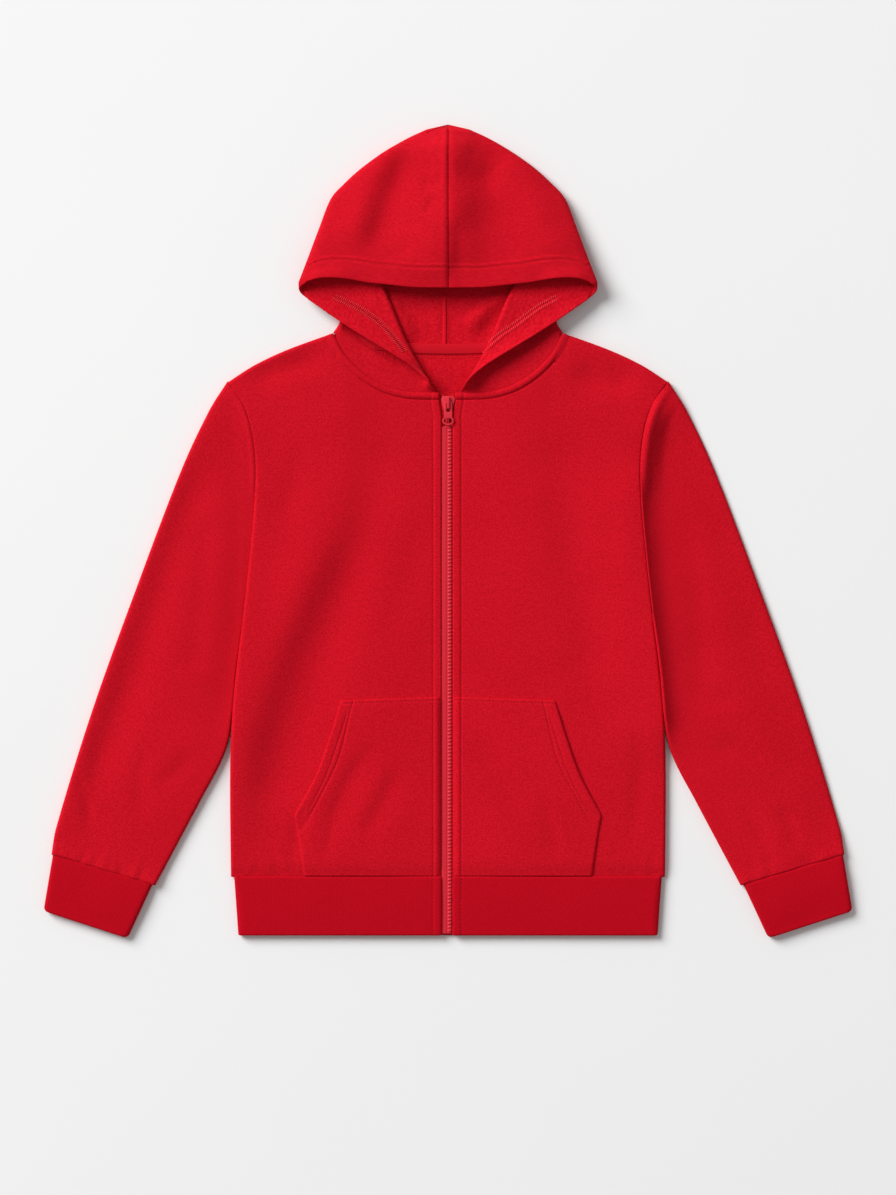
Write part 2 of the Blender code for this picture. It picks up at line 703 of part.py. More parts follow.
# ---- Pockets ---------------------------------------------------------------
def build_pocket(label, side, finish):
    """Patch pocket on the front, its mouth slanting to the side."""
    outer, corner = joined(curve(POCKET_MOUTH), curve(POCKET_SIDE))
    foot = ((POCKET_TOP[0][0], POCKET_SIDE[-1][1]), POCKET_SIDE[-1])
    rows = []
    for t in stepped((0.0, corner, 1.0), (POCKET_MOUTH_ROWS, POCKET_SIDE_ROWS)):
        row = []
        for j in range(POCKET_RUN + 1):
            s = j / POCKET_RUN
            a, y = coons(lambda u: mix(POCKET_TOP[0], POCKET_TOP[1], u),
                         lambda u: mix(foot[0], foot[1], u),
                         lambda u: mix(POCKET_TOP[0], foot[0], u), outer, s, t)
            lift = POCKET_LIFT * s ** POCKET_LIFT_EASE * math.sin(math.pi * min(t / corner, 1.0))
            row.append((side * a, y, front_level(side * a, y) + CLOTH + POCKET_LAY + lift))
        rows.append(row)
    cloth_wall("pocket_" + label, rows, CLOTH, finish)


# ---- Zip -------------------------------------------------------------------
def build_zip_tape(label, side, finish):
    """Zip tape under a front's edge."""
    inner = CHAIN_HALF + LAY
    outer = inner + ZIP_TAPE_WIDTH
    outline = [(side * inner, ZIP_END), (side * outer, ZIP_END),
               (side * outer, TAPE_TOP), (side * inner, TAPE_TOP)]
    low = ZIP_TAPE_LEVEL - ZIP_TAPE / 2
    block("zip_tape_" + label, outline, low, low + ZIP_TAPE, finish)


def build_chain(finish):
    """The closed zip's chain, from the slider to the hem's edge."""
    top = SLIDER_TOP - SLIDER_LENGTH - LAY
    outline = [(-CHAIN_HALF, ZIP_END), (CHAIN_HALF, ZIP_END), (CHAIN_HALF, top), (-CHAIN_HALF, top)]
    low = ZIP_TAPE_LEVEL - ZIP_TAPE / 2
    block("zip_chain", outline, low, low + CHAIN_DEPTH, finish)


def joined_solid(target, tools):
    """Unite tools with target and remove them."""
    for tool in tools:
        union = target.modifiers.new("Union", "BOOLEAN")
        union.operation = "UNION"
        union.object = tool
    graph = bpy.context.evaluated_depsgraph_get()
    mesh = bpy.data.meshes.new_from_object(target.evaluated_get(graph))
    target.modifiers.clear()
    target.data = mesh
    for tool in tools:
        bpy.data.objects.remove(tool)


def build_slider(finish):
    """Slider with the bridge that carries the pull tab."""
    end = SLIDER_TOP - SLIDER_LENGTH
    corner = SLIDER_TOP - SLIDER_CORNER_LENGTH
    tip = SLIDER_HALF_TOP - SLIDER_CORNER
    outline = [(-SLIDER_HALF_END, end), (SLIDER_HALF_END, end), (SLIDER_HALF_TOP, corner),
               (tip, SLIDER_TOP), (-tip, SLIDER_TOP), (-SLIDER_HALF_TOP, corner)]
    tape_top = ZIP_TAPE_LEVEL + ZIP_TAPE / 2 + LAY
    body = block("zip_slider", outline, tape_top, SLIDER_ROOF, finish)
    middle = SLIDER_TOP - SLIDER_LENGTH / 2
    near = middle - BRIDGE_SPAN / 2
    far = middle + BRIDGE_SPAN / 2
    roof = SLIDER_ROOF + BRIDGE_RISE
    foot = SLIDER_ROOF - LAP

    def bar(half_width, low_y, high_y, low_z, high_z):
        shape = [(-half_width, low_y), (half_width, low_y), (half_width, high_y), (-half_width, high_y)]
        return block("slider_bar", shape, low_z, high_z, finish)

    tools = [
        block("slider_plate", outline, SLIDER_FLOOR, SLIDER_FLOOR + SLIDER_PLATE, finish),
        bar(SLIDER_POST_HALF, middle, SLIDER_TOP - LAP, SLIDER_FLOOR + LAP, tape_top + LAP),
        bar(BRIDGE_HALF, near, near + BRIDGE_BAR, foot, roof - LAP),
        bar(BRIDGE_HALF, far - BRIDGE_BAR, far, foot, roof - LAP),
        bar(BRIDGE_HALF - LAP, near + LAP, far - LAP, roof - BRIDGE_BAR, roof),
    ]
    joined_solid(body, tools)


def build_pull(finish):
    """Pull tab: a flat loop round the bridge, a stem and an eye, down along the zip."""
    axis_y = SLIDER_TOP - SLIDER_LENGTH / 2
    axis_z = SLIDER_ROOF + PULL_AXIS_RISE
    low = axis_z - PULL_THICK / 2
    high = axis_z + PULL_THICK / 2
    eye_y = axis_y - PULL_LENGTH + PULL_EYE_RISE
    top = axis_y + PULL_THICK / 2
    right = [(PULL_HALF, top), (PULL_HALF, axis_y - PULL_WINDOW)]
    for k in range(EYE_STEPS + 1):
        angle = mix(EYE_FROM, -math.pi / 2, k / EYE_STEPS)
        right.append((PULL_EYE_HALF * math.cos(angle), eye_y + PULL_EYE_RISE * math.sin(angle)))
    outline = right + [(-x, y) for x, y in reversed(right[:-1])]
    tab = block("zip_pull", outline, low, high, finish)
    window = [(-PULL_WINDOW_HALF, axis_y - PULL_WINDOW), (PULL_WINDOW_HALF, axis_y - PULL_WINDOW),
              (PULL_WINDOW_HALF, axis_y - PULL_THICK / 2), (-PULL_WINDOW_HALF, axis_y - PULL_THICK / 2)]
    hole = [(PULL_HOLE_HALF * math.cos(math.tau * k / HOLE_STEPS),
             eye_y + PULL_HOLE_RISE * math.sin(math.tau * k / HOLE_STEPS)) for k in range(HOLE_STEPS)]
    cutters = bpy.data.collections["kids_hoodie_cutters"]
    for name, shape in (("pull_window", window), ("pull_hole", hole)):
        cutter = block(name, shape, low - CUTTER_OVER, high + CUTTER_OVER, finish)
        bpy.data.collections["kids_hoodie"].objects.unlink(cutter)
        cutters.objects.link(cutter)
        cutter.hide_render = True
        cutter.display_type = "WIRE"
        cut = tab.modifiers.new("Cut", "BOOLEAN")
        cut.operation = "DIFFERENCE"
        cut.object = cutter
    set_origin(tab, (0.0, axis_y, axis_z))


def set_origin(target, point):
    """Put the object's origin on its joint's axis, its shape where it was."""
    place = Vector(point) * MM
    for vertex in target.data.vertices:
        vertex.co -= place
    target.location = place


def main():
    """Build the hoodie."""
    for old in list(bpy.data.objects):
        bpy.data.objects.remove(old)
    for name in ("kids_hoodie", "kids_hoodie_cutters"):
        bpy.context.scene.collection.children.link(bpy.data.collections.new(name))
    knit = material("red_sweatshirt_knit", (0.57, 0.006, 0.014), 0.9)
    rib = material("red_rib_knit", (0.54, 0.006, 0.013), 0.9)
    tape = material("red_tape", (0.60, 0.012, 0.020), 0.8)
    teeth = material("red_zip_plastic", (0.66, 0.03, 0.04), 0.4)
    enamel = material("red_enamelled_metal", (0.66, 0.04, 0.05), 0.35, 0.3)
    build_back(knit)
    build_hem(rib)
    build_neck_tape(tape)
    for label, side in SIDES.items():
        build_front(label, side, knit)
        build_sleeve(label, side, knit)
        build_cuff(label, side, rib)
        build_hood(label, side, knit)
        build_pocket(label, side, knit)
        build_zip_tape(label, side, tape)
    build_chain(teeth)
    build_slider(enamel)
    build_pull(enamel)


main()
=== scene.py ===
"""Looks of a child's zip-front hoodie, laid flat on its back.

Every cloth piece is a thin shell on the form of its CAD solid. The form is worked out again from
the same outlines and tables at a finer step, and gets its folds, gathers, seams and sewn lines.
Sizes are in millimetres: x runs across from the zip, y up towards the hood, z up from the surface
that the garment lies on. Most tables give the distance from the centre line first, so that one
table serves both sides.
"""

import logging
import math
from dataclasses import dataclass, field
from enum import Enum
from typing import Callable, Optional, Sequence

import bmesh
import bpy
import numpy as np
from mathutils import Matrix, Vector

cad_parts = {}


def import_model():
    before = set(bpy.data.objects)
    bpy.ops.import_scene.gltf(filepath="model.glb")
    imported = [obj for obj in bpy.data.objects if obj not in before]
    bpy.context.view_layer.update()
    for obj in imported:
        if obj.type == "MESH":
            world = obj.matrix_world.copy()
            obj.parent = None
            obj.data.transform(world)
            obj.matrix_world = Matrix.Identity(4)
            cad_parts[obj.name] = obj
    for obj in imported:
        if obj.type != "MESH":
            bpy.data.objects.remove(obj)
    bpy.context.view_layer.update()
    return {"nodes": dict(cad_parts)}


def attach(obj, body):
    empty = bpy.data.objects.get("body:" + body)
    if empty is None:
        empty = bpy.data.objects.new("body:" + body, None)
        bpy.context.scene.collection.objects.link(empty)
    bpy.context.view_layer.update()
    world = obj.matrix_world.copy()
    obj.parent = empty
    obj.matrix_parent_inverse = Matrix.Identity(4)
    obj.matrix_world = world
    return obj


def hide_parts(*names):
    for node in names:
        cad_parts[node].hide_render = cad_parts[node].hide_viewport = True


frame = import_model()
LOG = logging.getLogger("hoodie")
MM = 0.001
Array = np.ndarray
Points = Sequence[tuple[float, ...]]
Pair = tuple[float, float]
Colour = tuple[float, float, float]
Piece = bpy.types.Object
Paint = bpy.types.Material
Socket = bpy.types.NodeSocket

# ---- Cloth and seams, as in the CAD ----------------------------------------
CLOTH = 1.6
RIB = 2.4
NECK_TAPE = 1.0
ZIP_TAPE = 0.8
FOLD_SEAM = 1.3
FOLD = 2.4
CUFF_FOLD = 2.3
ZIP_FACING = 6.4                # width of the doubled edge along the zip
OVER_BACK = 1.9                 # least height of upper layers over the middle of the back
LAID_THREAD = CLOTH / 2 + 0.1   # height of sewn lines over the middle of the cloth
RIM_STEPS = 4                   # round the edge of a wall
HEM_FOLD = 2.0
HEM_SEAM = -303.6
HEM_END = -354.4
HEM_HALF_TOP = 186.8
HEM_HALF_END = 183.2
ZIP_TOP = 121.4
ZIP_SPREAD = 2.0
SPREAD_FROM = ZIP_TOP - 22.0
SPREAD_OVER = 16.0
BACK_LEVEL = CLOTH / 2
SIDE_RAMP = 0.02
SHOULDER_RAMP = 0.04
ZIP_TAPE_LEVEL = 3.1
FRONT_LEVELS = (4.6, 5.6)       # height of the front beside the zip and further out
FRONT_FULLNESS = 0.6
FRONT_HALF = 190.0

FOLD_LINES = (
    (-60.0, 55.0, -146.0, -220.0, 22.0, 1.6),
    (98.0, 58.0, 122.0, -112.0, 22.0, 1.2),
    (-213.0, -4.0, -222.0, -112.0, 11.0, 1.5),
    (212.0, 4.0, 224.0, -120.0, 11.0, 1.5),
    (-262.0, -112.0, -292.0, -214.0, 16.0, 0.9),
    (268.0, -96.0, 296.0, -206.0, 16.0, 0.9),
)
ARMHOLE = ((192.8, 130.4), (180.6, 113.0), (172.6, 90.0), (168.8, 60.0),
           (169.6, 25.0), (173.6, -20.0), (179.4, -74.0))
SIDE_SEAM = ((179.4, -74.0), (185.4, -122.0), (189.2, -165.0), (190.8, -215.0), (190.2, HEM_SEAM))
BODY_EDGE = (*ARMHOLE, *SIDE_SEAM[1:4])
SHOULDER = ((100.6, 173.4), (141.2, 158.6), (169.4, 145.4), (192.8, 130.4))
FRONT_NECK = ((0.0, 121.4), (20.0, 121.4), (38.7, 122.6), (58.0, 128.5),
              (76.6, 140.6), (92.0, 157.0), (100.6, 173.4))
BACK_NECK = ((0.0, 157.5), (30.0, 158.2), (60.0, 161.0), (84.0, 166.4), (100.6, 173.4))
SLEEVE_OUTER = ((193.4, 130.8), (209.0, 106.0), (233.4, 54.0), (273.8, -52.0),
                (311.8, -157.5), (344.0, -262.0), (347.8, -284.2))
SLEEVE_INNER = ((181.6, -74.0), (188.0, -122.0), (192.0, -165.0), (198.0, -197.0),
                (218.2, -236.6), (257.8, -310.9))
CUFF_TOP = ((346.2, -285.1), (260.9, -310.5))
CUFF_END = ((354.3, -333.2), (282.3, -356.6))
LAPEL_COLUMNS = ("back", "fold_x", "fold_y", "roll_x", "roll_y", "edge_x", "edge_y",
                 "edge_z", "turn", "neck")
LAPEL_ROWS = (
    (158.0, 100.0, 174.2, 10.4, 121.9, 12.4, 121.9, 7.0, 0.00, 1.00),
    (163.0, 96.6, 179.0, 16.6, 130.4, 20.5, 133.6, 12.0, 0.45, 0.85),
    (168.0, 94.4, 184.0, 23.4, 142.0, 28.5, 141.8, 13.0, 0.85, 0.60),
    (177.0, 93.6, 190.0, 31.4, 156.0, 41.5, 150.8, 13.0, 1.00, 0.30),
    (187.0, 95.0, 197.0, 38.4, 170.0, 66.9, 166.4, 13.0, 1.00, 0.10),
    (197.0, 99.0, 204.0, 44.5, 185.0, 94.2, 183.8, 12.0, 1.00, 0.00),
    (207.0, 105.0, 211.0, 50.5, 200.0, 122.4, 203.6, 10.0, 1.00, 0.00),
)
CROWN_COLUMNS = ("back", "fold_x", "fold_y", "roll_x", "roll_y", "rim_x", "rim_y",
                 "crown", "crown_z", "depth")
CROWN_ROWS = (
    (216.0, 110.0, 217.0, 57.0, 214.0, 130.2, 218.0, 213.4, 19.5, 1.00),
    (235.0, 103.0, 236.0, 66.0, 236.0, 122.4, 238.5, 232.0, 19.2, 0.80),
    (258.0, 95.0, 260.0, 74.0, 260.0, 112.6, 264.9, 257.0, 18.4, 0.45),
    (284.0, 84.0, 286.0, 76.0, 286.0, 102.4, 291.0, 284.0, 17.0, 0.15),
    (301.0, 74.0, 302.0, 70.0, 302.0, 90.6, 304.6, 301.0, 15.7, 0.00),
    (316.0, 60.0, 316.0, 58.0, 316.0, 76.6, 317.4, 316.0, 14.0, 0.00),
    (330.0, 44.0, 330.0, 43.0, 330.0, 58.8, 330.4, 330.0, 12.0, 0.00),
    (341.5, 26.0, 342.0, 25.0, 342.0, 37.2, 343.4, 342.0, 9.5, 0.00),
    (350.0, 12.0, 350.0, 11.0, 350.0, 18.6, 352.2, 350.6, 8.0, 0.00),
)
HOOD_TOP = 356.5
BRIM = ((0.0, 213.4), (30.0, 214.2), (51.0, 216.6), (70.0, 218.8), (90.6, 222.2),
        (111.8, 222.8), (130.2, 218.0))
POCKET_TOP = ((8.6, -146.4), (93.7, -149.3))
POCKET_MOUTH = ((93.7, -149.3), (103.6, -181.3), (116.0, -215.6), (134.6, -250.0))
POCKET_SIDE = ((134.6, -250.0), (131.6, -266.0), (126.3, -302.6))


class Side(Enum):
    """The wearer's sides, by the sign of x."""

    RIGHT = -1
    LEFT = 1

    @property
    def label(self) -> str:
        """The side's word in a piece's name."""
        return self.name.lower()


def sides(right, left) -> dict:
    """Field of a dataclass that holds a value for each side."""
    return field(default_factory=lambda: {Side.RIGHT: right, Side.LEFT: left})


ZIP_EDGE = {Side.RIGHT: 6.2, Side.LEFT: 4.8}
COVER_STITCH = {
    Side.RIGHT: ((-98.8, 205.4), (-82.5, 197.8), (-68.5, 189.6), (-55.4, 178.8), (-45.8, 168.1),
                 (-38.0, 158.0)),
    Side.LEFT: ((94.8, 204.3), (80.6, 196.7), (69.8, 189.1), (57.8, 179.9), (46.0, 172.0),
                (33.4, 161.0), (29.0, 157.0)),
}


# ---- Curves ----------------------------------------------------------------
def mix(a, b, t):
    """Value, point or array between a and b."""
    return a + (b - a) * t


def smooth(t: Array) -> Array:
    """Soft step from 0 to 1."""
    t = np.clip(t, 0.0, 1.0)
    return t * t * (3.0 - 2.0 * t)


def past(place: Array, start: float, over: float) -> Array:
    """0 up to start, rising softly to 1 over a width."""
    return smooth((place - start) / over)


def before(place: Array, end: float, over: float) -> Array:
    """1, falling softly over a width to 0 at the end."""
    return smooth((end - place) / over)


def bell(place: Array, wide: float) -> Array:
    """1 at 0, falling off on both sides."""
    return np.exp(-(place / wide) ** 2)


@dataclass(frozen=True)
class Window:
    """Range that opens softly over rise from low and closes over fall up to high."""

    low: float
    rise: float
    high: float
    fall: float

    def at(self, place: Array) -> Array:
        """Share of opening, from 0 to 1."""
        return past(place, self.low, self.rise) * before(place, self.high, self.fall)


def hermite(points: Array, knots: Array, s: Array) -> Array:
    """Smooth curve through points at the given knots, read at s.

    Args:
        points: One row for each knot.
        knots: Rising places of the points.
        s: Where to read the curve, of any shape.

    Returns:
        Points, with the shape of s and one more axis.
    """
    s = np.asarray(s, float)
    last = len(points) - 1
    i = np.searchsorted(knots[1:last], s, side="left")
    lo = np.maximum(np.arange(last + 1) - 1, 0)
    hi = np.minimum(np.arange(last + 1) + 1, last)
    slopes = (points[hi] - points[lo]) / (knots[hi] - knots[lo])[:, None]
    span = (knots[i + 1] - knots[i])[..., None]
    u = (s - knots[i])[..., None] / span
    start = 2 * u ** 3 - 3 * u ** 2 + 1
    return (start * points[i] + (u ** 3 - 2 * u ** 2 + u) * span * slopes[i]
            + (1 - start) * points[i + 1] + (u ** 3 - u ** 2) * span * slopes[i + 1])


class Line:
    """Smooth line through points, read by share of its length."""

    def __init__(self, points: Points) -> None:
        """Take the points in order."""
        self.points = np.array(points, float)
        self.knots = run_along(self.points)

    def at(self, share: Array) -> Array:
        """Points at shares of the length."""
        return hermite(self.points, self.knots, np.asarray(share, float) * self.knots[-1])

    def sampled(self, count: int) -> Array:
        """Evenly read points."""
        return self.at(np.linspace(0.0, 1.0, count))


class Bent:
    """Two lines that meet in a corner, read as one."""

    def __init__(self, first: Points, second: Points) -> None:
        """Measure both lines and find the corner's place."""
        self.parts = (Line(first), Line(second))
        lengths = [np.linalg.norm(np.diff(p.sampled(21), axis=0), axis=1).sum() for p in self.parts]
        self.corner = float(lengths[0] / sum(lengths))

    def at(self, share: Array) -> Array:
        """Points at shares of the whole length."""
        share = np.asarray(share, float)
        before = self.parts[0].at(np.clip(share / self.corner, 0.0, 1.0))
        after = self.parts[1].at(np.clip((share - self.corner) / (1 - self.corner), 0.0, 1.0))
        return np.where((share <= self.corner)[..., None], before, after)


def height_on(points: Points, x: Array) -> Array:
    """Height y of an outline, given with x rising, at x."""
    table = np.array(points, float)
    return hermite(table, table[:, 0], np.clip(x, table[0, 0], table[-1, 0]))[..., 1]


def coons(top, bottom, inner, outer, s: Array, t: Array) -> Array:
    """Points of a patch between four edges.

    Args:
        top: Edge at t 0, a function of s, and bottom the one at t 1.
        bottom: See top.
        inner: Edge at s 0, a function of t, and outer the one at s 1.
        outer: See inner.
        s: Share across.
        t: Share down.

    Returns:
        Plan points.
    """
    s3, t3 = s[..., None], t[..., None]
    zero, one = np.zeros(()), np.ones(())
    corners = mix(mix(top(zero), top(one), s3), mix(bottom(zero), bottom(one), s3), t3)
    return mix(top(s), bottom(s), t3) + mix(inner(t), outer(t), s3) - corners


def spread(*runs: tuple[float, float, float]) -> Array:
    """Places along an edge in runs of (start, end, step), without doubles."""
    places = [np.linspace(a, b, max(int(round((b - a) / step)), 1) + 1) for a, b, step in runs]
    return np.unique(np.round(np.concatenate(places), 6))


def run_along(points: Array) -> Array:
    """Length of a line up to each of its points."""
    steps = np.linalg.norm(np.diff(points, axis=0), axis=1)
    return np.concatenate(([0.0], np.cumsum(steps)))


def directions(line: Array) -> Array:
    """Unit direction of a line in plan at each of its points."""
    way = np.gradient(line, axis=0)
    return way / np.linalg.norm(way, axis=1)[:, None]


def aside(line: Array, distance: float) -> Array:
    """Line at a distance on the left of a line in plan, or on its right where negative."""
    way = directions(line)
    return line + np.stack((-way[:, 1], way[:, 0]), -1) * distance


def distance_to(x: Array, y: Array, line: Array) -> tuple[Array, Array, Array]:
    """Distance to a line in plan.

    Args:
        x: Places across.
        y: Places up.
        line: Points of the line.

    Returns:
        The distance, the sign of the side (positive on the left) and the share along the line.
    """
    best = np.full(np.shape(x), 1e9)
    sign = np.ones(np.shape(x))
    share = np.zeros(np.shape(x))
    lengths = np.linalg.norm(np.diff(line, axis=0), axis=1)
    run = 0.0
    for a, b, length in zip(line[:-1], line[1:], lengths):
        d = (b - a) / max(length, 1e-9)
        along = np.clip((x - a[0]) * d[0] + (y - a[1]) * d[1], 0.0, length)
        near = np.hypot(x - a[0] - d[0] * along, y - a[1] - d[1] * along)
        closer = near < best
        best = np.where(closer, near, best)
        side = d[0] * (y - a[1]) - d[1] * (x - a[0])
        sign = np.where(closer, np.where(side >= 0, 1.0, -1.0), sign)
        share = np.where(closer, (run + along) / lengths.sum(), share)
        run += length
    return best, sign, share


def away_from(x: Array, y: Array, points: Points, count: int) -> Array:
    """Distance to the smooth line through points, read at count places."""
    return distance_to(x, y, Line(points).sampled(count))[0]


# ---- Relief of the cloth ---------------------------------------------------
def ends_off(share: Array, start: float, end: float) -> Array:
    """1 along a line, fading to 0 over a share of its length at its start and at its end."""
    return smooth(share / start) * smooth((1.0 - share) / end)


@dataclass(frozen=True)
class Crease:
    """A soft trough along a bent line in plan, or a ridge where depth is negative.

    wide is its reach on the left of the line, lee that on the right, both in mm.
    """

    line: Points
    depth: float
    wide: float
    lee: float
    taper: float = 0.35

    def sink(self, x: Array, y: Array) -> Array:
        """Depth at places of the garment."""
        near, sign, share = distance_to(x, y, np.array(self.line, float))
        reach = np.where(sign > 0, self.wide, self.lee)
        return self.depth * ends_off(share, self.taper, self.taper) * bell(near, reach)


@dataclass(frozen=True)
class Step:
    """A fold where the cloth drops from the right of a bent line to its left.

    wide is the width of the drop, reach the width over which the cloth evens out again, in mm.
    """

    line: Points
    drop: float
    wide: float
    reach: float
    taper: float = 0.3
    lift: float = 0.12          # share of the drop by which both sides stand up

    def sink(self, x: Array, y: Array) -> Array:
        """Depth at places of the garment."""
        near, sign, share = distance_to(x, y, np.array(self.line, float))
        side = 0.5 * sign * np.tanh(near / self.wide)
        ends = ends_off(share, self.taper, self.taper)
        return self.drop * ends * bell(near, self.reach) * (side - self.lift)


@dataclass(frozen=True)
class Gathers:
    """Small puckers that run out from a seam, uneven in place, length and depth."""

    seed: int
    span: float
    pitch: float
    depth: float
    reach: float
    width: float = 4.0
    stray: float = 0.4          # of a pucker's place, as a share of the pitch
    lean: float = 0.35
    reaches: Pair = (0.35, 1.3)
    widths: Pair = (0.6, 1.5)
    depths: Pair = (-0.9, 1.0)

    def sink(self, along: Array, away: Array) -> Array:
        """Depth at places along the seam and away from it."""
        dice = np.random.default_rng(self.seed)
        depth = np.zeros(np.shape(along))
        for place in np.arange(self.pitch / 2, self.span, self.pitch):
            centre = place + dice.uniform(-self.stray, self.stray) * self.pitch
            lean = dice.uniform(-self.lean, self.lean)
            reach = self.reach * dice.uniform(*self.reaches)
            width = self.width * dice.uniform(*self.widths)
            push = self.depth * dice.uniform(*self.depths)
            depth = depth + push * bell(away, reach) * bell(along - centre - lean * away, width)
        return depth


INSIDE_HEIGHT = Window(112.0, 34.0, 250.0, 30.0)
INSIDE_HALF = (84.0, 34.0)


def ripple(x: Array, y: Array, amount: float) -> Array:
    """Very soft unevenness of laid cloth."""
    waves = (np.sin(x / 17.0 + y / 41.0) * np.sin(y / 23.0 - x / 57.0)
             + 0.6 * np.sin(x / 9.5 - y / 13.0 + 1.7) * np.sin(x / 31.0 + y / 19.0)
             + 0.7 * np.sin(x / 38.0 + 0.4) * np.cos(y / 44.0 + 0.9))
    return amount * waves


def edge_roll(away: Array, radius: float, drop: Optional[Array] = None) -> Array:
    """Drop of cloth that rolls over at its edge, as deep as the radius if not given."""
    inside = np.clip(1.0 - away / radius, 0.0, 1.0)
    return (radius if drop is None else drop) * (1.0 - np.sqrt(1.0 - 0.96 * inside ** 2))


def groove(away: Array, depth: float, width: float = 0.9) -> Array:
    """Dent that a sewn line pulls into the cloth."""
    return depth * bell(away, width)


def band(away: Array, width: float) -> Array:
    """1 within a doubled band along an edge, 0 past it."""
    return 1.0 - smooth((away - width + 0.6) / 1.2)


def fold_depth(x: Array, y: Array) -> Array:
    """Depth of the soft folds that the CAD solids carry."""
    depth = np.zeros(np.shape(x))
    for x0, y0, x1, y1, width, deep in FOLD_LINES:
        near, _, _ = distance_to(x, y, np.array(((x0, y0), (x1, y1))))
        depth = depth + deep * bell(near, width)
    return depth


def seam_sink(y: Array, depth: float = 1.5, wide: float = 7.0) -> Array:
    """How far the fronts and pockets sink into the hem seam."""
    return depth * bell(y - HEM_SEAM, wide)


def inside_rise(x: Array, y: Array, height: float = 2.8) -> Array:
    """How far the back's inside lies over the surface within the neck and under the brim."""
    return height * INSIDE_HEIGHT.at(y) * before(np.abs(x), *INSIDE_HALF)


def front_level(x: Array, y: Array) -> Array:
    """Height of the middle of the front's cloth, as in the CAD."""
    a = np.abs(x)
    fullness = np.sin(np.pi * np.minimum(a / FRONT_HALF, 1.0)) * past(y, HEM_SEAM, 60.0)
    level = mix(FRONT_LEVELS[0], FRONT_LEVELS[1], smooth(a / 70.0))
    return level + FRONT_FULLNESS * fullness - fold_depth(x, y)


FRONT_CREASES = (
    Step(((-54.0, 60.0), (-72.0, 32.0), (-84.0, 8.0), (-97.0, -17.0), (-118.0, -61.0),
          (-138.0, -105.0), (-153.0, -149.0), (-166.0, -193.0), (-173.0, -237.0), (-177.0, -330.0)),
         8.0, 17.0, 44.0, 0.34, 0.16),
    Crease(((-183.0, 128.0), (-152.0, 140.0), (-121.0, 149.0), (-100.0, 159.0)), 2.4, 12.0, 11.0),
    Crease(((-60.0, 118.0), (-104.0, 96.0), (-150.0, 92.0)), -0.5, 16.0, 18.0),
    Crease(((103.0, 141.0), (134.0, 133.0), (173.0, 126.0)), 2.4, 14.0, 11.0),
    Crease(((92.0, 30.0), (106.0, -20.0), (124.0, -76.0), (134.0, -140.0)), 0.7, 26.0, 15.0),
    Crease(((70.0, 52.0), (88.0, 4.0), (92.0, -44.0)), -0.6, 20.0, 14.0),
    Crease(((150.0, 60.0), (156.0, 0.0), (160.0, -60.0)), -0.5, 12.0, 12.0),
    Crease(((20.0, 60.0), (34.0, 0.0), (30.0, -70.0)), 0.4, 20.0, 14.0),
    Crease(((-20.0, 30.0), (-34.0, -40.0), (-60.0, -118.0)), 0.5, 18.0, 12.0),
    Crease(((-128.0, 92.0), (-136.0, 40.0), (-150.0, -10.0)), 0.6, 12.0, 9.0),
    Crease(((164.0, -150.0), (170.0, -210.0), (160.0, -286.0)), 0.8, 10.0, 8.0),
    Crease(((-120.0, -236.0), (-132.0, -262.0), (-136.0, -296.0)), 0.9, 7.0, 6.0),
)
POCKET_CREASES = (
    Crease(((-58.0, -178.0), (-84.0, -215.0), (-98.0, -245.0), (-104.0, -290.0)), 1.7, 14.0, 8.0),
    Crease(((-40.0, -200.0), (-56.0, -237.0), (-78.0, -276.0)), 1.5, 12.0, 8.0),
    Crease(((18.0, -176.0), (42.0, -216.0), (76.0, -262.0)), 1.0, 16.0, 9.0),
    Crease(((80.0, -232.0), (92.0, -262.0), (96.0, -296.0)), 0.8, 6.0, 9.0),
    Crease(((-112.0, -240.0), (-104.0, -268.0), (-110.0, -298.0)), 0.6, 6.0, 8.0),
)
ARM_TROUGH = {
    Side.LEFT: ((193.0, 122.0), (188.0, 98.0), (184.0, 72.0), (180.6, 45.0), (177.4, 20.0),
                (176.6, -5.0), (178.6, -30.0), (182.0, -62.0), (187.0, -105.0), (192.0, -149.0),
                (197.0, -182.0)),
    Side.RIGHT: ((194.6, 122.0), (189.8, 92.0), (185.6, 58.0), (183.0, 18.5), (183.0, -16.7),
                 (186.0, -60.7), (191.0, -113.5), (197.0, -160.0), (206.0, -196.0)),
}
SLEEVE_CREASES = (
    Crease(((-204.0, 92.0), (-238.0, -1.0), (-271.0, -100.0), (-302.0, -188.0), (-318.0, -244.0)),
           2.6, 17.0, 14.0, 0.2),
    Crease(((-300.0, -168.0), (-312.0, -222.0), (-318.0, -262.0)), 0.8, 10.0, 8.0),
    Crease(((-262.0, -176.0), (-272.0, -222.0), (-268.0, -262.0)), 0.9, 10.0, 8.0),
    Crease(((-222.0, -190.0), (-240.0, -214.0), (-262.0, -228.0)), 0.8, 8.0, 8.0),
    Crease(((-330.0, -206.0), (-318.0, -236.0), (-312.0, -270.0)), 1.0, 5.0, 6.0),
    Crease(((206.0, -128.0), (232.0, -146.0), (262.0, -152.0)), 0.8, 7.0, 9.0),
    Crease(((228.0, -186.0), (256.0, -190.0), (288.0, -206.0)), 0.8, 7.0, 9.0),
    Crease(((286.0, -240.0), (300.0, -256.0), (308.0, -286.0)), 1.1, 8.0, 6.0),
    Crease(((252.0, -236.0), (266.0, -250.0), (284.0, -284.0)), 0.9, 7.0, 7.0),
    Crease(((250.0, 16.0), (272.0, -44.0), (292.0, -110.0), (318.0, -200.0)), -0.7, 11.0, 14.0),
)
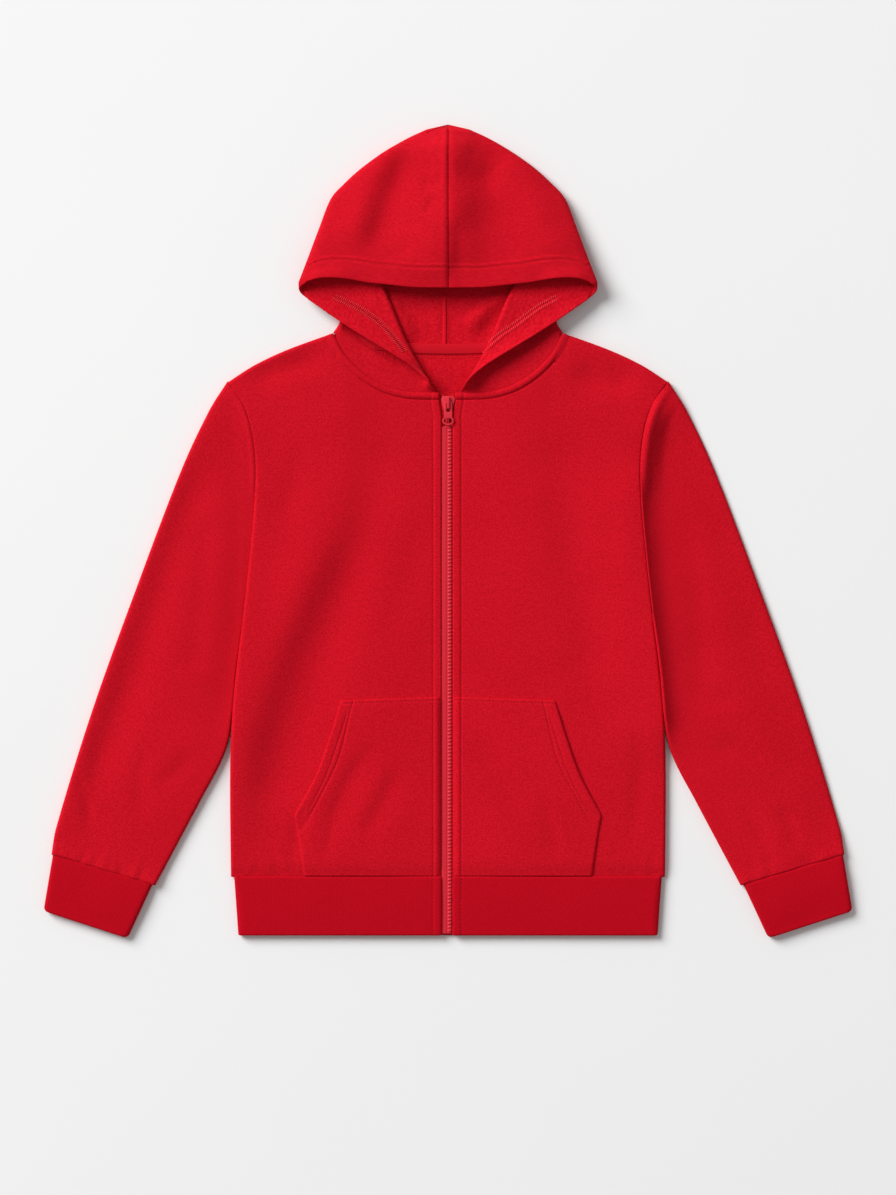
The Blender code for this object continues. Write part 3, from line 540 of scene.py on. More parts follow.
CROWN_CREASES = (
    Step(((-34.0, 368.0), (-39.0, 346.0), (-45.0, 326.0), (-61.0, 291.0), (-72.0, 256.0),
          (-78.0, 236.0)), 8.4, 11.0, 27.0, 0.24),
    Step(((14.0, 374.0), (18.0, 345.0), (22.0, 318.0), (22.0, 291.0), (15.0, 256.0), (8.0, 232.0),
          (4.0, 206.0)), 14.0, 22.0, 40.0, 0.2, 0.1),
    Step(((48.0, 350.0), (64.0, 333.0), (88.0, 291.0), (104.0, 256.0), (114.0, 226.0)),
         5.0, 15.0, 30.0, 0.25, 0.4),
    Crease(((-6.0, 322.0), (14.0, 314.0), (34.0, 308.0), (56.0, 312.0)), 2.6, 14.0, 12.0, 0.4),
    Crease(((4.0, 276.0), (8.0, 255.0), (8.0, 236.0), (4.0, 216.0)), 2.0, 9.0, 6.0, 0.3),
    Crease(((12.0, 338.0), (28.0, 331.0), (44.0, 324.0)), 1.0, 8.0, 6.0),
    Crease(((-4.0, 300.0), (-14.0, 304.0), (-26.0, 300.0)), 0.9, 5.0, 6.0),
    Crease(((-8.0, 292.0), (-16.0, 286.0), (-20.0, 274.0)), 0.8, 5.0, 4.0),
    Crease(((-50.0, 326.0), (-20.0, 337.0), (20.0, 337.0), (50.0, 326.0)), -2.2, 13.0, 20.0, 0.2),
    Crease(((-28.0, 262.0), (-40.0, 246.0), (-62.0, 236.0)), 0.9, 8.0, 8.0),
)
NECK_FOLDS = (
    Crease(((-58.0, 216.0), (-46.0, 196.0), (-34.0, 176.0), (-26.0, 164.0)), -3.2, 6.0, 9.0),
    Crease(((52.0, 216.0), (40.0, 200.0), (22.0, 184.0), (10.0, 176.0)), -3.4, 9.0, 6.0),
    Crease(((-8.0, 216.0), (-10.0, 192.0), (-8.0, 170.0)), -0.8, 5.0, 5.0),
    Crease(((49.0, 206.0), (45.0, 199.0), (38.5, 186.0), (33.0, 172.5), (27.0, 161.0)),
           2.0, 7.0, 9.0, 0.3),
)
STRIP_FOLDS = (
    Crease(((-96.0, 186.0), (-77.0, 172.7), (-59.4, 161.7), (-43.0, 151.0), (-32.0, 144.0)),
           3.0, 9.0, 6.5, 0.2),
    Crease(((96.0, 186.0), (77.0, 172.7), (59.4, 161.7), (43.0, 151.0), (30.0, 143.0)),
           1.2, 6.0, 9.0, 0.2),
    Crease(((-74.0, 160.0), (-56.0, 148.0), (-40.0, 138.0)), -0.7, 5.0, 5.0),
)


def creased(creases: Sequence["Crease | Step"], x: Array, y: Array) -> Array:
    """Depth of several creases together."""
    return sum(crease.sink(x, y) for crease in creases)


# ---- Objects ---------------------------------------------------------------
def added(name: str, data: bpy.types.ID) -> Piece:
    """New object in the scene."""
    made = bpy.data.objects.new(name, data)
    bpy.context.scene.collection.objects.link(made)
    return made


def evaluated(source: Piece) -> bpy.types.Mesh:
    """Mesh of an object with its modifiers applied, the object itself taken away."""
    graph = bpy.context.evaluated_depsgraph_get()
    mesh = bpy.data.meshes.new_from_object(source.evaluated_get(graph))
    bpy.data.objects.remove(source)
    return mesh


# ---- Shells of cloth -------------------------------------------------------
@dataclass
class Cloth:
    """One wall of cloth, as the points and faces of its middle surface."""

    name: str
    points: Array
    faces: list[tuple[int, ...]]
    uvs: list[tuple[Pair, ...]]
    thickness: float
    upward: Optional[Array] = None
    normals: Array = field(init=False)

    def __post_init__(self) -> None:
        """Turn the faces so that the outer side looks out, and find the normals."""
        self.normals = self._find_normals()
        chosen = self.normals if self.upward is None else self.normals[self.upward]
        if chosen[:, 2].mean() < 0:
            self.faces = [face[::-1] for face in self.faces]
            self.uvs = [uv[::-1] for uv in self.uvs]
            self.normals = -self.normals

    def _find_normals(self) -> Array:
        """Normals of the points, from the faces around them."""
        normals = np.zeros_like(self.points)
        for size in (3, 4):
            chosen = np.array([f for f in self.faces if len(f) == size], int)
            if not len(chosen):
                continue
            corner = self.points[chosen]
            if size == 4:
                cross = np.cross(corner[:, 2] - corner[:, 0], corner[:, 3] - corner[:, 1])
            else:
                cross = np.cross(corner[:, 1] - corner[:, 0], corner[:, 2] - corner[:, 0])
            for k in range(size):
                np.add.at(normals, chosen[:, k], cross)
        length = np.linalg.norm(normals, axis=1)
        return normals / np.maximum(length, 1e-12)[:, None]

    def lifted(self, amount: Array) -> None:
        """Move the points out along their normals."""
        self.points = self.points + self.normals * np.asarray(amount)[..., None]
        self.normals = self._find_normals()

    def _rim(self) -> tuple[list[tuple[int, int]], dict[int, Array]]:
        """Open edges of the surface, and the way out from each of their points."""
        directed = {}
        for face, uv in zip(self.faces, self.uvs):
            for k in range(len(face)):
                directed[(face[k], face[(k + 1) % len(face)])] = (uv[k], uv[(k + 1) % len(face)])
        edges = [(edge, uv) for edge, uv in directed.items() if edge[::-1] not in directed]
        ways: dict[int, Array] = {}
        for (a, b), _ in edges:
            way = np.cross(self.points[b] - self.points[a], self.normals[a])
            way = way / max(np.linalg.norm(way), 1e-9)
            ways[a] = ways.get(a, 0.0) + way
            ways[b] = ways.get(b, 0.0) + way
        return edges, ways

    def build(self, finishes: Sequence[Paint], bulge: float) -> Piece:
        """Make the shell, with a rounded rim.

        Args:
            finishes: Material of the outer side, and of the inner side where it differs.
            bulge: How far the rim stands out, as a share of the thickness.

        Returns:
            The piece, at the origin.
        """
        half = self.thickness / 2
        count = len(self.points)
        outer = self.points + self.normals * half
        inner = self.points - self.normals * half
        places = [outer, inner]
        faces = list(self.faces) + [tuple(i + count for i in face[::-1]) for face in self.faces]
        uvs = list(self.uvs) + [uv[::-1] for uv in self.uvs]
        slots = [0] * len(self.faces) + [1] * len(self.faces)
        edges, ways = self._rim()
        extra: dict[int, int] = {}
        rim_points = []
        base = 2 * count
        for index, way in ways.items():
            way = way / max(np.linalg.norm(way), 1e-9)
            extra[index] = base + len(rim_points)
            for angle in np.arange(1, RIM_STEPS) * math.pi / RIM_STEPS:
                up = math.cos(angle) * half
                out = math.sin(angle) * bulge * self.thickness
                rim_points.append(self.points[index] + self.normals[index] * up + way * out)
        for (a, b), (uv_a, uv_b) in edges:
            ladder_a, ladder_b = ((i, *range(extra[i], extra[i] + RIM_STEPS - 1), i + count)
                                  for i in (a, b))
            for k in range(RIM_STEPS):
                faces.append((ladder_b[k], ladder_a[k], ladder_a[k + 1], ladder_b[k + 1]))
                uvs.append((uv_b, uv_a, uv_a, uv_b))
                slots.append(0)
        if rim_points:
            places.append(np.array(rim_points))
        mesh = bpy.data.meshes.new(self.name)
        mesh.from_pydata((np.concatenate(places) * MM).tolist(), [], faces)
        layer = mesh.uv_layers.new(name="cloth")
        flat = np.array([c for uv in uvs for corner in uv for c in corner], np.float32)
        layer.data.foreach_set("uv", flat * MM)
        for finish in finishes:
            mesh.materials.append(finish)
        if len(finishes) > 1:
            mesh.polygons.foreach_set("material_index", slots)
        mesh.shade_smooth()
        mesh.update()
        return added(self.name, mesh)


def cloth_of_rows(name: str, rows: Sequence[Array], thickness: float, closed: bool = False,
                  upward: Optional[Array] = None, centre: int = 0) -> Cloth:
    """Cloth through rows of points.

    Args:
        name: The piece's name.
        rows: Rows of points. A row may be longer than the next, or one point that closes it.
        thickness: Of the wall.
        closed: Whether each row is a ring.
        upward: Indices of points whose outer side looks up.
        centre: Column from which the cloth's width is measured, and down which its length is.

    Returns:
        The wall.
    """
    starts = np.concatenate(([0], np.cumsum([len(row) for row in rows])))
    points = np.concatenate(rows)
    along = run_along(np.array([row[min(centre, len(row) - 1)] for row in rows]))
    across = []
    for row in rows:
        run = run_along(np.concatenate((row, row[:1])) if closed else row)
        across.append(run - run[min(centre, len(run) - 1)])
    faces: list[tuple[int, ...]] = []
    uvs = []
    for r in range(len(rows) - 1):
        upper, lower = len(rows[r]), len(rows[r + 1])
        if lower == 1:
            for c in range(upper - 1):
                faces.append((starts[r] + c, starts[r] + c + 1, starts[r + 1]))
                uvs.append(((across[r][c], along[r]), (across[r][c + 1], along[r]),
                            (0.0, along[r + 1])))
            continue
        count = min(upper, lower)
        for c in range(count if closed else count - 1):
            k = (c + 1) % count if closed else c + 1
            faces.append((starts[r] + c, starts[r] + k, starts[r + 1] + k, starts[r + 1] + c))
            uvs.append(((across[r][c], along[r]), (across[r][c + 1], along[r]),
                        (across[r + 1][c + 1], along[r + 1]), (across[r + 1][c], along[r + 1])))
    faces = [tuple(int(i) for i in face) for face in faces]
    return Cloth(name, points, faces, uvs, thickness, upward)


# ---- Materials -------------------------------------------------------------
class Value:
    """A number socket that can be used in sums."""

    def __init__(self, graph: "Graph", socket: Socket) -> None:
        """Wrap the socket of a graph."""
        self.graph = graph
        self.socket = socket

    def _sum(self, operation: str, *others) -> "Value":
        """Result of a Math node on this value and the others."""
        node = self.graph.node("ShaderNodeMath", {"operation": operation},
                               dict(enumerate((self, *others))))
        return Value(self.graph, node.outputs[0])

    def __add__(self, other) -> "Value":
        """Sum."""
        return self._sum("ADD", other)

    __radd__ = __add__

    def __sub__(self, other) -> "Value":
        """Difference."""
        return self._sum("SUBTRACT", other)

    def __rsub__(self, other) -> "Value":
        """Difference from a number."""
        return self._sum("MULTIPLY", -1.0)._sum("ADD", other)

    def __mul__(self, other) -> "Value":
        """Product."""
        return self._sum("MULTIPLY", other)

    __rmul__ = __mul__

    def __abs__(self) -> "Value":
        """Size without sign."""
        return self._sum("ABSOLUTE")

    def fraction(self) -> "Value":
        """Part after the point."""
        return self._sum("FRACT")

    def wave(self) -> "Value":
        """Sine wave of the value, as radians, from 0 to 1."""
        return self._sum("SINE") * 0.5 + 0.5


class Nodes:
    """A node tree, built up node by node."""

    def __init__(self, tree: bpy.types.NodeTree) -> None:
        """Take the tree."""
        self.tree = tree

    def node(self, kind: str, settings: Optional[dict] = None,
             inputs: Optional[dict] = None) -> bpy.types.Node:
        """Add a node.

        Args:
            kind: The node's type.
            settings: Its properties.
            inputs: Values, sockets or other nodes' values, by name or number of the socket.

        Returns:
            The node.
        """
        made = self.tree.nodes.new(kind)
        for key, value in (settings or {}).items():
            setattr(made, key, value)
        for key, value in (inputs or {}).items():
            self.set(made.inputs[key], value)
        return made

    def set(self, socket: Socket, value) -> None:
        """Link or set a socket."""
        if isinstance(value, Value):
            value = value.socket
        if isinstance(value, Socket):
            self.tree.links.new(value, socket)
        else:
            socket.default_value = value


class Graph(Nodes):
    """The nodes of one material."""

    def __init__(self, name: str) -> None:
        """Start a material with only its output and shader."""
        self.material = bpy.data.materials.new(name)
        self.material.use_nodes = True
        super().__init__(self.material.node_tree)
        self.shader = self.tree.nodes["Principled BSDF"]

    def uv(self) -> tuple[Value, Value, Socket]:
        """Across and along the cloth, in metres, and both as one vector."""
        layer = self.node("ShaderNodeUVMap", {"uv_map": "cloth"})
        parts = self.node("ShaderNodeSeparateXYZ", None, {0: layer.outputs[0]})
        return Value(self, parts.outputs[0]), Value(self, parts.outputs[1]), layer.outputs[0]

    def place(self) -> Socket:
        """Object coordinates."""
        return self.node("ShaderNodeTexCoord").outputs["Object"]

    def noise(self, vector: Socket, kind: "Speckle") -> Value:
        """Noise about 0.5."""
        made = self.node("ShaderNodeTexNoise", None, {"Vector": vector, "Scale": kind.scale,
                                                      "Detail": kind.detail,
                                                      "Roughness": kind.rough})
        return Value(self, made.outputs[0])

    def tint(self, factor, dark: tuple, light: tuple) -> Socket:
        """Colour between two, by a factor."""
        made = self.node("ShaderNodeMix", {"data_type": "RGBA"},
                         {"Factor": factor, 6: (*dark, 1.0), 7: (*light, 1.0)})
        return made.outputs[2]

    def bump(self, height: Value, distance: float, strength: float) -> Socket:
        """Normal of a bumpy surface."""
        inputs = {"Height": height, "Distance": distance, "Strength": strength}
        return self.node("ShaderNodeBump", None, inputs).outputs[0]

    def finish(self, colour, roughness, normal=None, **constants) -> Paint:
        """Set the shader's sockets, by their names in lower case, and return the material."""
        self.set(self.shader.inputs["Base Color"], colour)
        self.set(self.shader.inputs["Roughness"], roughness)
        if normal is not None:
            self.set(self.shader.inputs["Normal"], normal)
        for name, value in constants.items():
            label = name.replace("_", " ").title().replace("Ior", "IOR")
            self.set(self.shader.inputs[label], value)
        return self.material


def weighted(values: Sequence[Value], weights: Sequence[float]) -> Value:
    """Sum of values, each times its weight."""
    total = values[0] * weights[0]
    for value, weight in zip(values[1:], weights[1:]):
        total = total + value * weight
    return total


@dataclass(frozen=True)
class Speckle:
    """Noise of a finish."""

    scale: float
    detail: float = 2.0
    rough: float = 0.6


@dataclass(frozen=True)
class Nap:
    """Sheen of short fibres and the weak reflection below them."""

    weight: float = 0.05
    rough: float = 0.3
    level: float = 0.06
    tint: tuple[float, ...] = (1.0, 0.3, 0.3, 1.0)

    def inputs(self) -> dict:
        """Values for the shader."""
        return {"sheen_weight": self.weight, "sheen_roughness": self.rough,
                "sheen_tint": self.tint, "specular_ior_level": self.level}


@dataclass(frozen=True)
class Knit:
    """Brushed sweatshirt knit: fine upright stitches on the face, seen through short fibres."""

    name: str = "sweatshirt_knit"
    dark: Colour = (0.46, 0.0012, 0.0085)
    light: Colour = (0.69, 0.0075, 0.021)
    wale: float = 0.00115
    course: float = 0.00085
    slant: float = 1.5          # of the legs of the loops
    fibres: Speckle = Speckle(620.0, 3.0, 0.75)
    patches: Speckle = Speckle(210.0)
    clouds: Speckle = Speckle(14.0)
    grain: tuple[float, ...] = (2.6, 0.5, 0.3, 0.1)     # share of fibres, patches, clouds, loops
    base: float = 1.25
    relief: tuple[float, ...] = (0.3, 0.2, 1.2)         # share of loops, columns and fibres
    bump: Pair = (0.00022, 0.5)    # depth and strength of the relief
    rough: float = 0.92
    rough_fibres: float = 0.12
    nap: Nap = Nap()

    def material(self) -> Paint:
        """Nodes of the knit."""
        graph = Graph(self.name)
        u, v, flat = graph.uv()
        x = abs((u * (1 / self.wale)).fraction() - 0.5)
        loops = ((v * (1 / self.course) + x * self.slant) * math.tau).wave()
        columns = (u * (math.tau / self.wale)).wave()
        fibres = graph.noise(flat, self.fibres)
        patches = graph.noise(flat, self.patches)
        clouds = graph.noise(graph.place(), self.clouds)
        grain = weighted((fibres, patches, clouds, loops), self.grain) - self.base
        height = weighted((loops, columns, fibres), self.relief)
        return graph.finish(graph.tint(grain, self.dark, self.light),
                            self.rough - fibres * self.rough_fibres,
                            graph.bump(height, *self.bump), **self.nap.inputs())


@dataclass(frozen=True)
class Fleece:
    """Brushed inner side: short curled nap in soft clumps."""

    name: str = "brushed_inside"
    dark: Colour = (0.48, 0.0010, 0.008)
    light: Colour = (0.73, 0.009, 0.023)
    curls: Speckle = Speckle(520.0, 4.0, 0.7)
    clumps: Speckle = Speckle(170.0, 3.0)
    grain: Pair = (2.6, 0.9)    # share of curls and clumps
    base: float = 1.25
    clump_height: float = 1.6
    bump: Pair = (0.0006, 0.6)
    rough: float = 0.97
    nap: Nap = Nap(0.12, 0.4, 0.05)

    def material(self) -> Paint:
        """Nodes of the nap."""
        graph = Graph(self.name)
        _, _, flat = graph.uv()
        curls = graph.noise(flat, self.curls)
        clumps = graph.noise(flat, self.clumps)
        grain = weighted((curls, clumps), self.grain) - self.base
        normal = graph.bump(curls + clumps * self.clump_height, *self.bump)
        return graph.finish(graph.tint(grain, self.dark, self.light), self.rough, normal,
                            **self.nap.inputs())


@dataclass(frozen=True)
class Ribbing:
    """One-by-one rib: fine upright ribs with a narrow furrow between them, the furrows darkened in
    the colour as painted shade.
    """

    name: str = "rib_knit"
    dark: Colour = (0.42, 0.001, 0.008)
    light: Colour = (0.55, 0.003, 0.013)
    rib: float = 0.0022
    course: float = 0.0008
    fibres: Speckle = Speckle(620.0, 3.0, 0.7)
    patches: Speckle = Speckle(160.0)
    # The ribs' share in the colour darkens the furrows between them: painted shade. The fibres and
    # patches are the rib's own grain.
    grain: tuple[float, ...] = (0.10, 1.8, 0.3)         # share of ribs, fibres and patches
    base: float = 0.6
    relief: tuple[float, ...] = (0.5, 0.15, 0.8)        # share of ribs, courses and fibres
    bump: Pair = (0.0002, 0.5)
    rough: float = 0.93
    nap: Nap = Nap()

    def material(self) -> Paint:
        """Nodes of the ribbing."""
        graph = Graph(self.name)
        u, v, flat = graph.uv()
        ribs = (u * (math.tau / self.rib)).wave()
        courses = (v * (math.tau / self.course)).wave()
        fibres = graph.noise(flat, self.fibres)
        patches = graph.noise(flat, self.patches)
        # Colour lighter on the ribs' crowns and darker in their furrows: painted shade, mixed with
        # the real grain of fibres and patches.
        grain = weighted((ribs, fibres, patches), self.grain) - self.base
        normal = graph.bump(weighted((ribs, courses, fibres), self.relief), *self.bump)
        return graph.finish(graph.tint(grain, self.dark, self.light), self.rough, normal,
                            **self.nap.inputs())


@dataclass(frozen=True)
class Tape:
    """Woven tape with a fine slanting twill."""

    name: str = "woven_tape"
    dark: Colour = (0.50, 0.002, 0.010)
    light: Colour = (0.72, 0.009, 0.023)
    pitch: float = 0.0011
    slant: float = 0.8
    fibres: Speckle = Speckle(1100.0)
    grain: Pair = (0.7, 0.4)    # share of twill and fibres
    base: float = 0.05
    fibre_height: float = 0.5
    bump: Pair = (0.0002, 0.7)
    rough: float = 0.85
    level: float = 0.08

    def material(self) -> Paint:
        """Nodes of the tape."""
        graph = Graph(self.name)
        u, v, flat = graph.uv()
        twill = ((u + v * self.slant) * (math.tau / self.pitch)).wave()
        fibres = graph.noise(flat, self.fibres)
        grain = weighted((twill, fibres), self.grain) - self.base
        normal = graph.bump(twill + fibres * self.fibre_height, *self.bump)
        return graph.finish(graph.tint(grain, self.dark, self.light), self.rough, normal,
                            specular_ior_level=self.level)


@dataclass(frozen=True)
class Thread:
    """Twisted sewing thread with a little shine."""

    name: str = "sewing_thread"
    dark: Colour = (0.46, 0.003, 0.012)
    light: Colour = (0.70, 0.016, 0.030)
    twist: Speckle = Speckle(2400.0, 1.0)
    contrast: float = 1.4
    base: float = 0.2
    bump: Pair = (0.0001, 0.5)
    rough: float = 0.62
    level: float = 0.1

    def material(self) -> Paint:
        """Nodes of the thread."""
        graph = Graph(self.name)
        twist = graph.noise(graph.place(), self.twist)
        grain = twist * self.contrast - self.base
        return graph.finish(graph.tint(grain, self.dark, self.light), self.rough,
                            graph.bump(twist, *self.bump), specular_ior_level=self.level)


@dataclass(frozen=True)
class Moulded:
    """Coloured plastic or enamel, with soft handling marks."""

    name: str
    dark: Colour
    light: Colour
    rough: float
    marks: Speckle = Speckle(700.0, 3.0)
    shade: Speckle = Speckle(160.0)
    contrast: float = 1.3
    base: float = 0.15
    mark_rough: float = 0.2
    bump: Pair = (0.00005, 0.35)
    level: float = 0.14

    def material(self) -> Paint:
        """Nodes of the finish."""
        graph = Graph(self.name)
        place = graph.place()
        marks = graph.noise(place, self.marks)
        shade = graph.noise(place, self.shade)
        return graph.finish(graph.tint(shade * self.contrast - self.base, self.dark, self.light),
                            marks * self.mark_rough + (self.rough - self.mark_rough / 2),
                            graph.bump(marks, *self.bump), specular_ior_level=self.level)


@dataclass(frozen=True)
class Paper:
    """Plain pale surface that the garment lies on."""

    name: str = "pale_surface"
    grey: float = 0.9
    cloud_depth: float = 0.02
    clouds: Speckle = Speckle(3.0)
    rough: float = 0.9
    level: float = 0.2

    def material(self) -> Paint:
        """Nodes of the surface."""
        graph = Graph(self.name)
        cloud = graph.noise(graph.place(), self.clouds)
        colour = graph.tint(cloud, (self.grey - self.cloud_depth,) * 3, (self.grey,) * 3)
        return graph.finish(colour, self.rough, specular_ior_level=self.level)


class Wardrobe:
    """The garment's finishes, each made once."""

    def __init__(self) -> None:
        """Make them."""
        self.knit = Knit().material()
        self.fleece = Fleece().material()
        self.shell = (self.knit, self.fleece)
        self.rib = Ribbing().material()
        self.tape = Tape().material()
        self.cord = Tape("zip_cord_tape", (0.62, 0.016, 0.034), (0.76, 0.036, 0.056)).material()
        self.thread = Thread().material()
        self.cover = Thread("cover_thread", (0.70, 0.020, 0.038), (0.92, 0.065, 0.088)).material()
        self.teeth = Moulded("zip_plastic", (0.74, 0.032, 0.054), (0.88, 0.070, 0.090),
                             0.55).material()
        self.enamel = Moulded("zip_enamel", (0.62, 0.018, 0.034), (0.74, 0.036, 0.056),
                              0.5).material()


def laid(piece: Piece, plan: Array, lift: float) -> Array:
    """Plan points dropped onto a piece from above.

    Args:
        piece: What they land on.
        plan: Points in mm.
        lift: How far over the surface they come to lie.

    Returns:
        The points that landed, in mm.
    """
    bpy.context.view_layer.update()
    found = []
    for x, y in plan:
        hit, place, normal, _ = piece.ray_cast((x * MM, y * MM, 0.06), (0.0, 0.0, -1.0))
        if hit:
            found.append(np.array(place) / MM + np.array(normal) * lift)
    return np.array(found)


def wear(piece: Piece, body: str, slot: str, *nodes: str) -> Piece:
    """Put a piece on its body, in place of its CAD nodes, and report it."""
    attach(piece, body)
    if nodes:
        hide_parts(*nodes)
    LOG.info("%s: %d faces on %s", piece.name, len(piece.data.polygons), body)
    return piece


# ---- Sewing ----------------------------------------------------------------
def dress(cloth: Cloth, slot: str, node: str, finishes: Sequence[Paint],
          bulge: float = 0.4) -> Piece:
    """Build a wall of cloth and put it on the garment in place of its CAD node."""
    return wear(cloth.build(finishes, bulge), "garment", slot, node)


class Rows(Nodes):
    """A Geometry Nodes tree that repeats a shape along the edges of a mesh."""

    def __init__(self, name: str, **inputs: str) -> None:
        """Start the tree.

        Args:
            name: The tree's name.
            inputs: Its inputs beside the geometry, the pitch and the finish: kind by name.
        """
        super().__init__(bpy.data.node_groups.new(name, "GeometryNodeTree"))
        face = self.tree.interface
        for way in ("INPUT", "OUTPUT"):
            face.new_socket("Geometry", in_out=way, socket_type="NodeSocketGeometry")
        for label, kind in {"Pitch": "Float", "Finish": "Material", **inputs}.items():
            face.new_socket(label, in_out="INPUT", socket_type="NodeSocket" + kind)
        self.given = self.node("NodeGroupInput").outputs

    def laid(self, shape: Socket, turn: Socket,
             **more: Socket) -> bpy.types.NodeTree:
        """Lay the shape at every place and end the tree.

        Args:
            shape: What is repeated.
            turn: Its rotation.
            more: Other inputs of the node that lays it.

        Returns:
            The tree.
        """
        curve = self.node("GeometryNodeMeshToCurve", None, {"Mesh": self.given["Geometry"]})
        even = self.node("GeometryNodeResampleCurve", {"mode": "LENGTH"},
                         {"Curve": curve.outputs[0], "Length": self.given["Pitch"]})
        made = self.node("GeometryNodeInstanceOnPoints", None,
                         {"Points": even.outputs[0], "Instance": shape, "Rotation": turn, **more})
        for kind in ("GeometryNodeRealizeInstances", "GeometryNodeSetShadeSmooth"):
            made = self.node(kind, None, {0: made.outputs[0]})
        made = self.node("GeometryNodeSetMaterial", None,
                         {"Geometry": made.outputs[0], "Material": self.given["Finish"]})
        self.node("NodeGroupOutput", None, {0: made.outputs[0]})
        return self.tree


class Sewing:
    """Sewn lines, gathered and turned into thread by one node tree."""

    uneven = (0.85, 1.1)        # least and greatest share of a stitch's size

    def __init__(self) -> None:
        """Build the tree that lays single stitches along edges."""
        made = Rows("stitches", Length="Float", Thread="Float", Seed="Int")
        given = made.given
        ball = made.node("GeometryNodeMeshIcoSphere", None, {"Radius": 1.0, "Subdivisions": 1})
        size = made.node("ShaderNodeCombineXYZ", None,
                         {"X": given["Length"], "Y": given["Thread"], "Z": given["Thread"]})
        chance = made.node("FunctionNodeRandomValue", {"data_type": "FLOAT"},
                           {2: self.uneven[0], 3: self.uneven[1], "Seed": given["Seed"]})
        for share in (0.5, chance.outputs[1]):
            size = made.node("ShaderNodeVectorMath", {"operation": "SCALE"},
                             {0: size.outputs[0], "Scale": share})
        tangent = made.node("GeometryNodeInputTangent")
        turn = made.node("FunctionNodeAlignRotationToVector", {"axis": "X"},
                         {"Vector": tangent.outputs[0]})
        self.tree = made.laid(ball.outputs["Mesh"], turn.outputs[0], Scale=size.outputs[0])

    def sew(self, name: str, lines: Sequence[Array], finish: Paint, pitch: float = 3.0,
            length: float = 2.5, thread: float = 0.5, seed: int = 4) -> Piece:
        """Lay stitches along lines.

        Args:
            name: The piece's name.
            lines: Lines of points in mm.
            finish: Of the thread.
            pitch: From stitch to stitch.
            length: Of one stitch.
            thread: Its thickness.
            seed: Of the stitches' unevenness.

        Returns:
            The stitches as one piece.
        """
        points = np.concatenate([np.asarray(line, float) for line in lines]) * MM
        edges = []
        start = 0
        for line in lines:
            edges += [(start + i, start + i + 1) for i in range(len(line) - 1)]
            start += len(line)
        mesh = bpy.data.meshes.new(name + "_lines")
        mesh.from_pydata(points.tolist(), edges, [])
        values = {"Pitch": pitch * MM, "Length": length * MM, "Thread": thread * MM, "Seed": seed,
                  "Finish": finish}
        return grown(name, mesh, self.tree, values)


def grown(name: str, mesh: bpy.types.Mesh, tree: bpy.types.NodeTree, values: dict) -> Piece:
    """Piece that a node tree grows from a mesh, as a plain mesh.

    Args:
        name: The piece's name.
        mesh: What the tree starts from.
        tree: The node tree.
        values: The tree's inputs by name.

    Returns:
        The piece.
    """
    seedling = added(name + "_start", mesh)
    modifier = seedling.modifiers.new("Grow", "NODES")
    modifier.node_group = tree
    for item in tree.interface.items_tree:
        if item.item_type == "SOCKET" and item.in_out == "INPUT" and item.name in values:
            modifier[item.identifier] = values[item.name]
    made = evaluated(seedling)
    made.name = name
    return added(name, made)


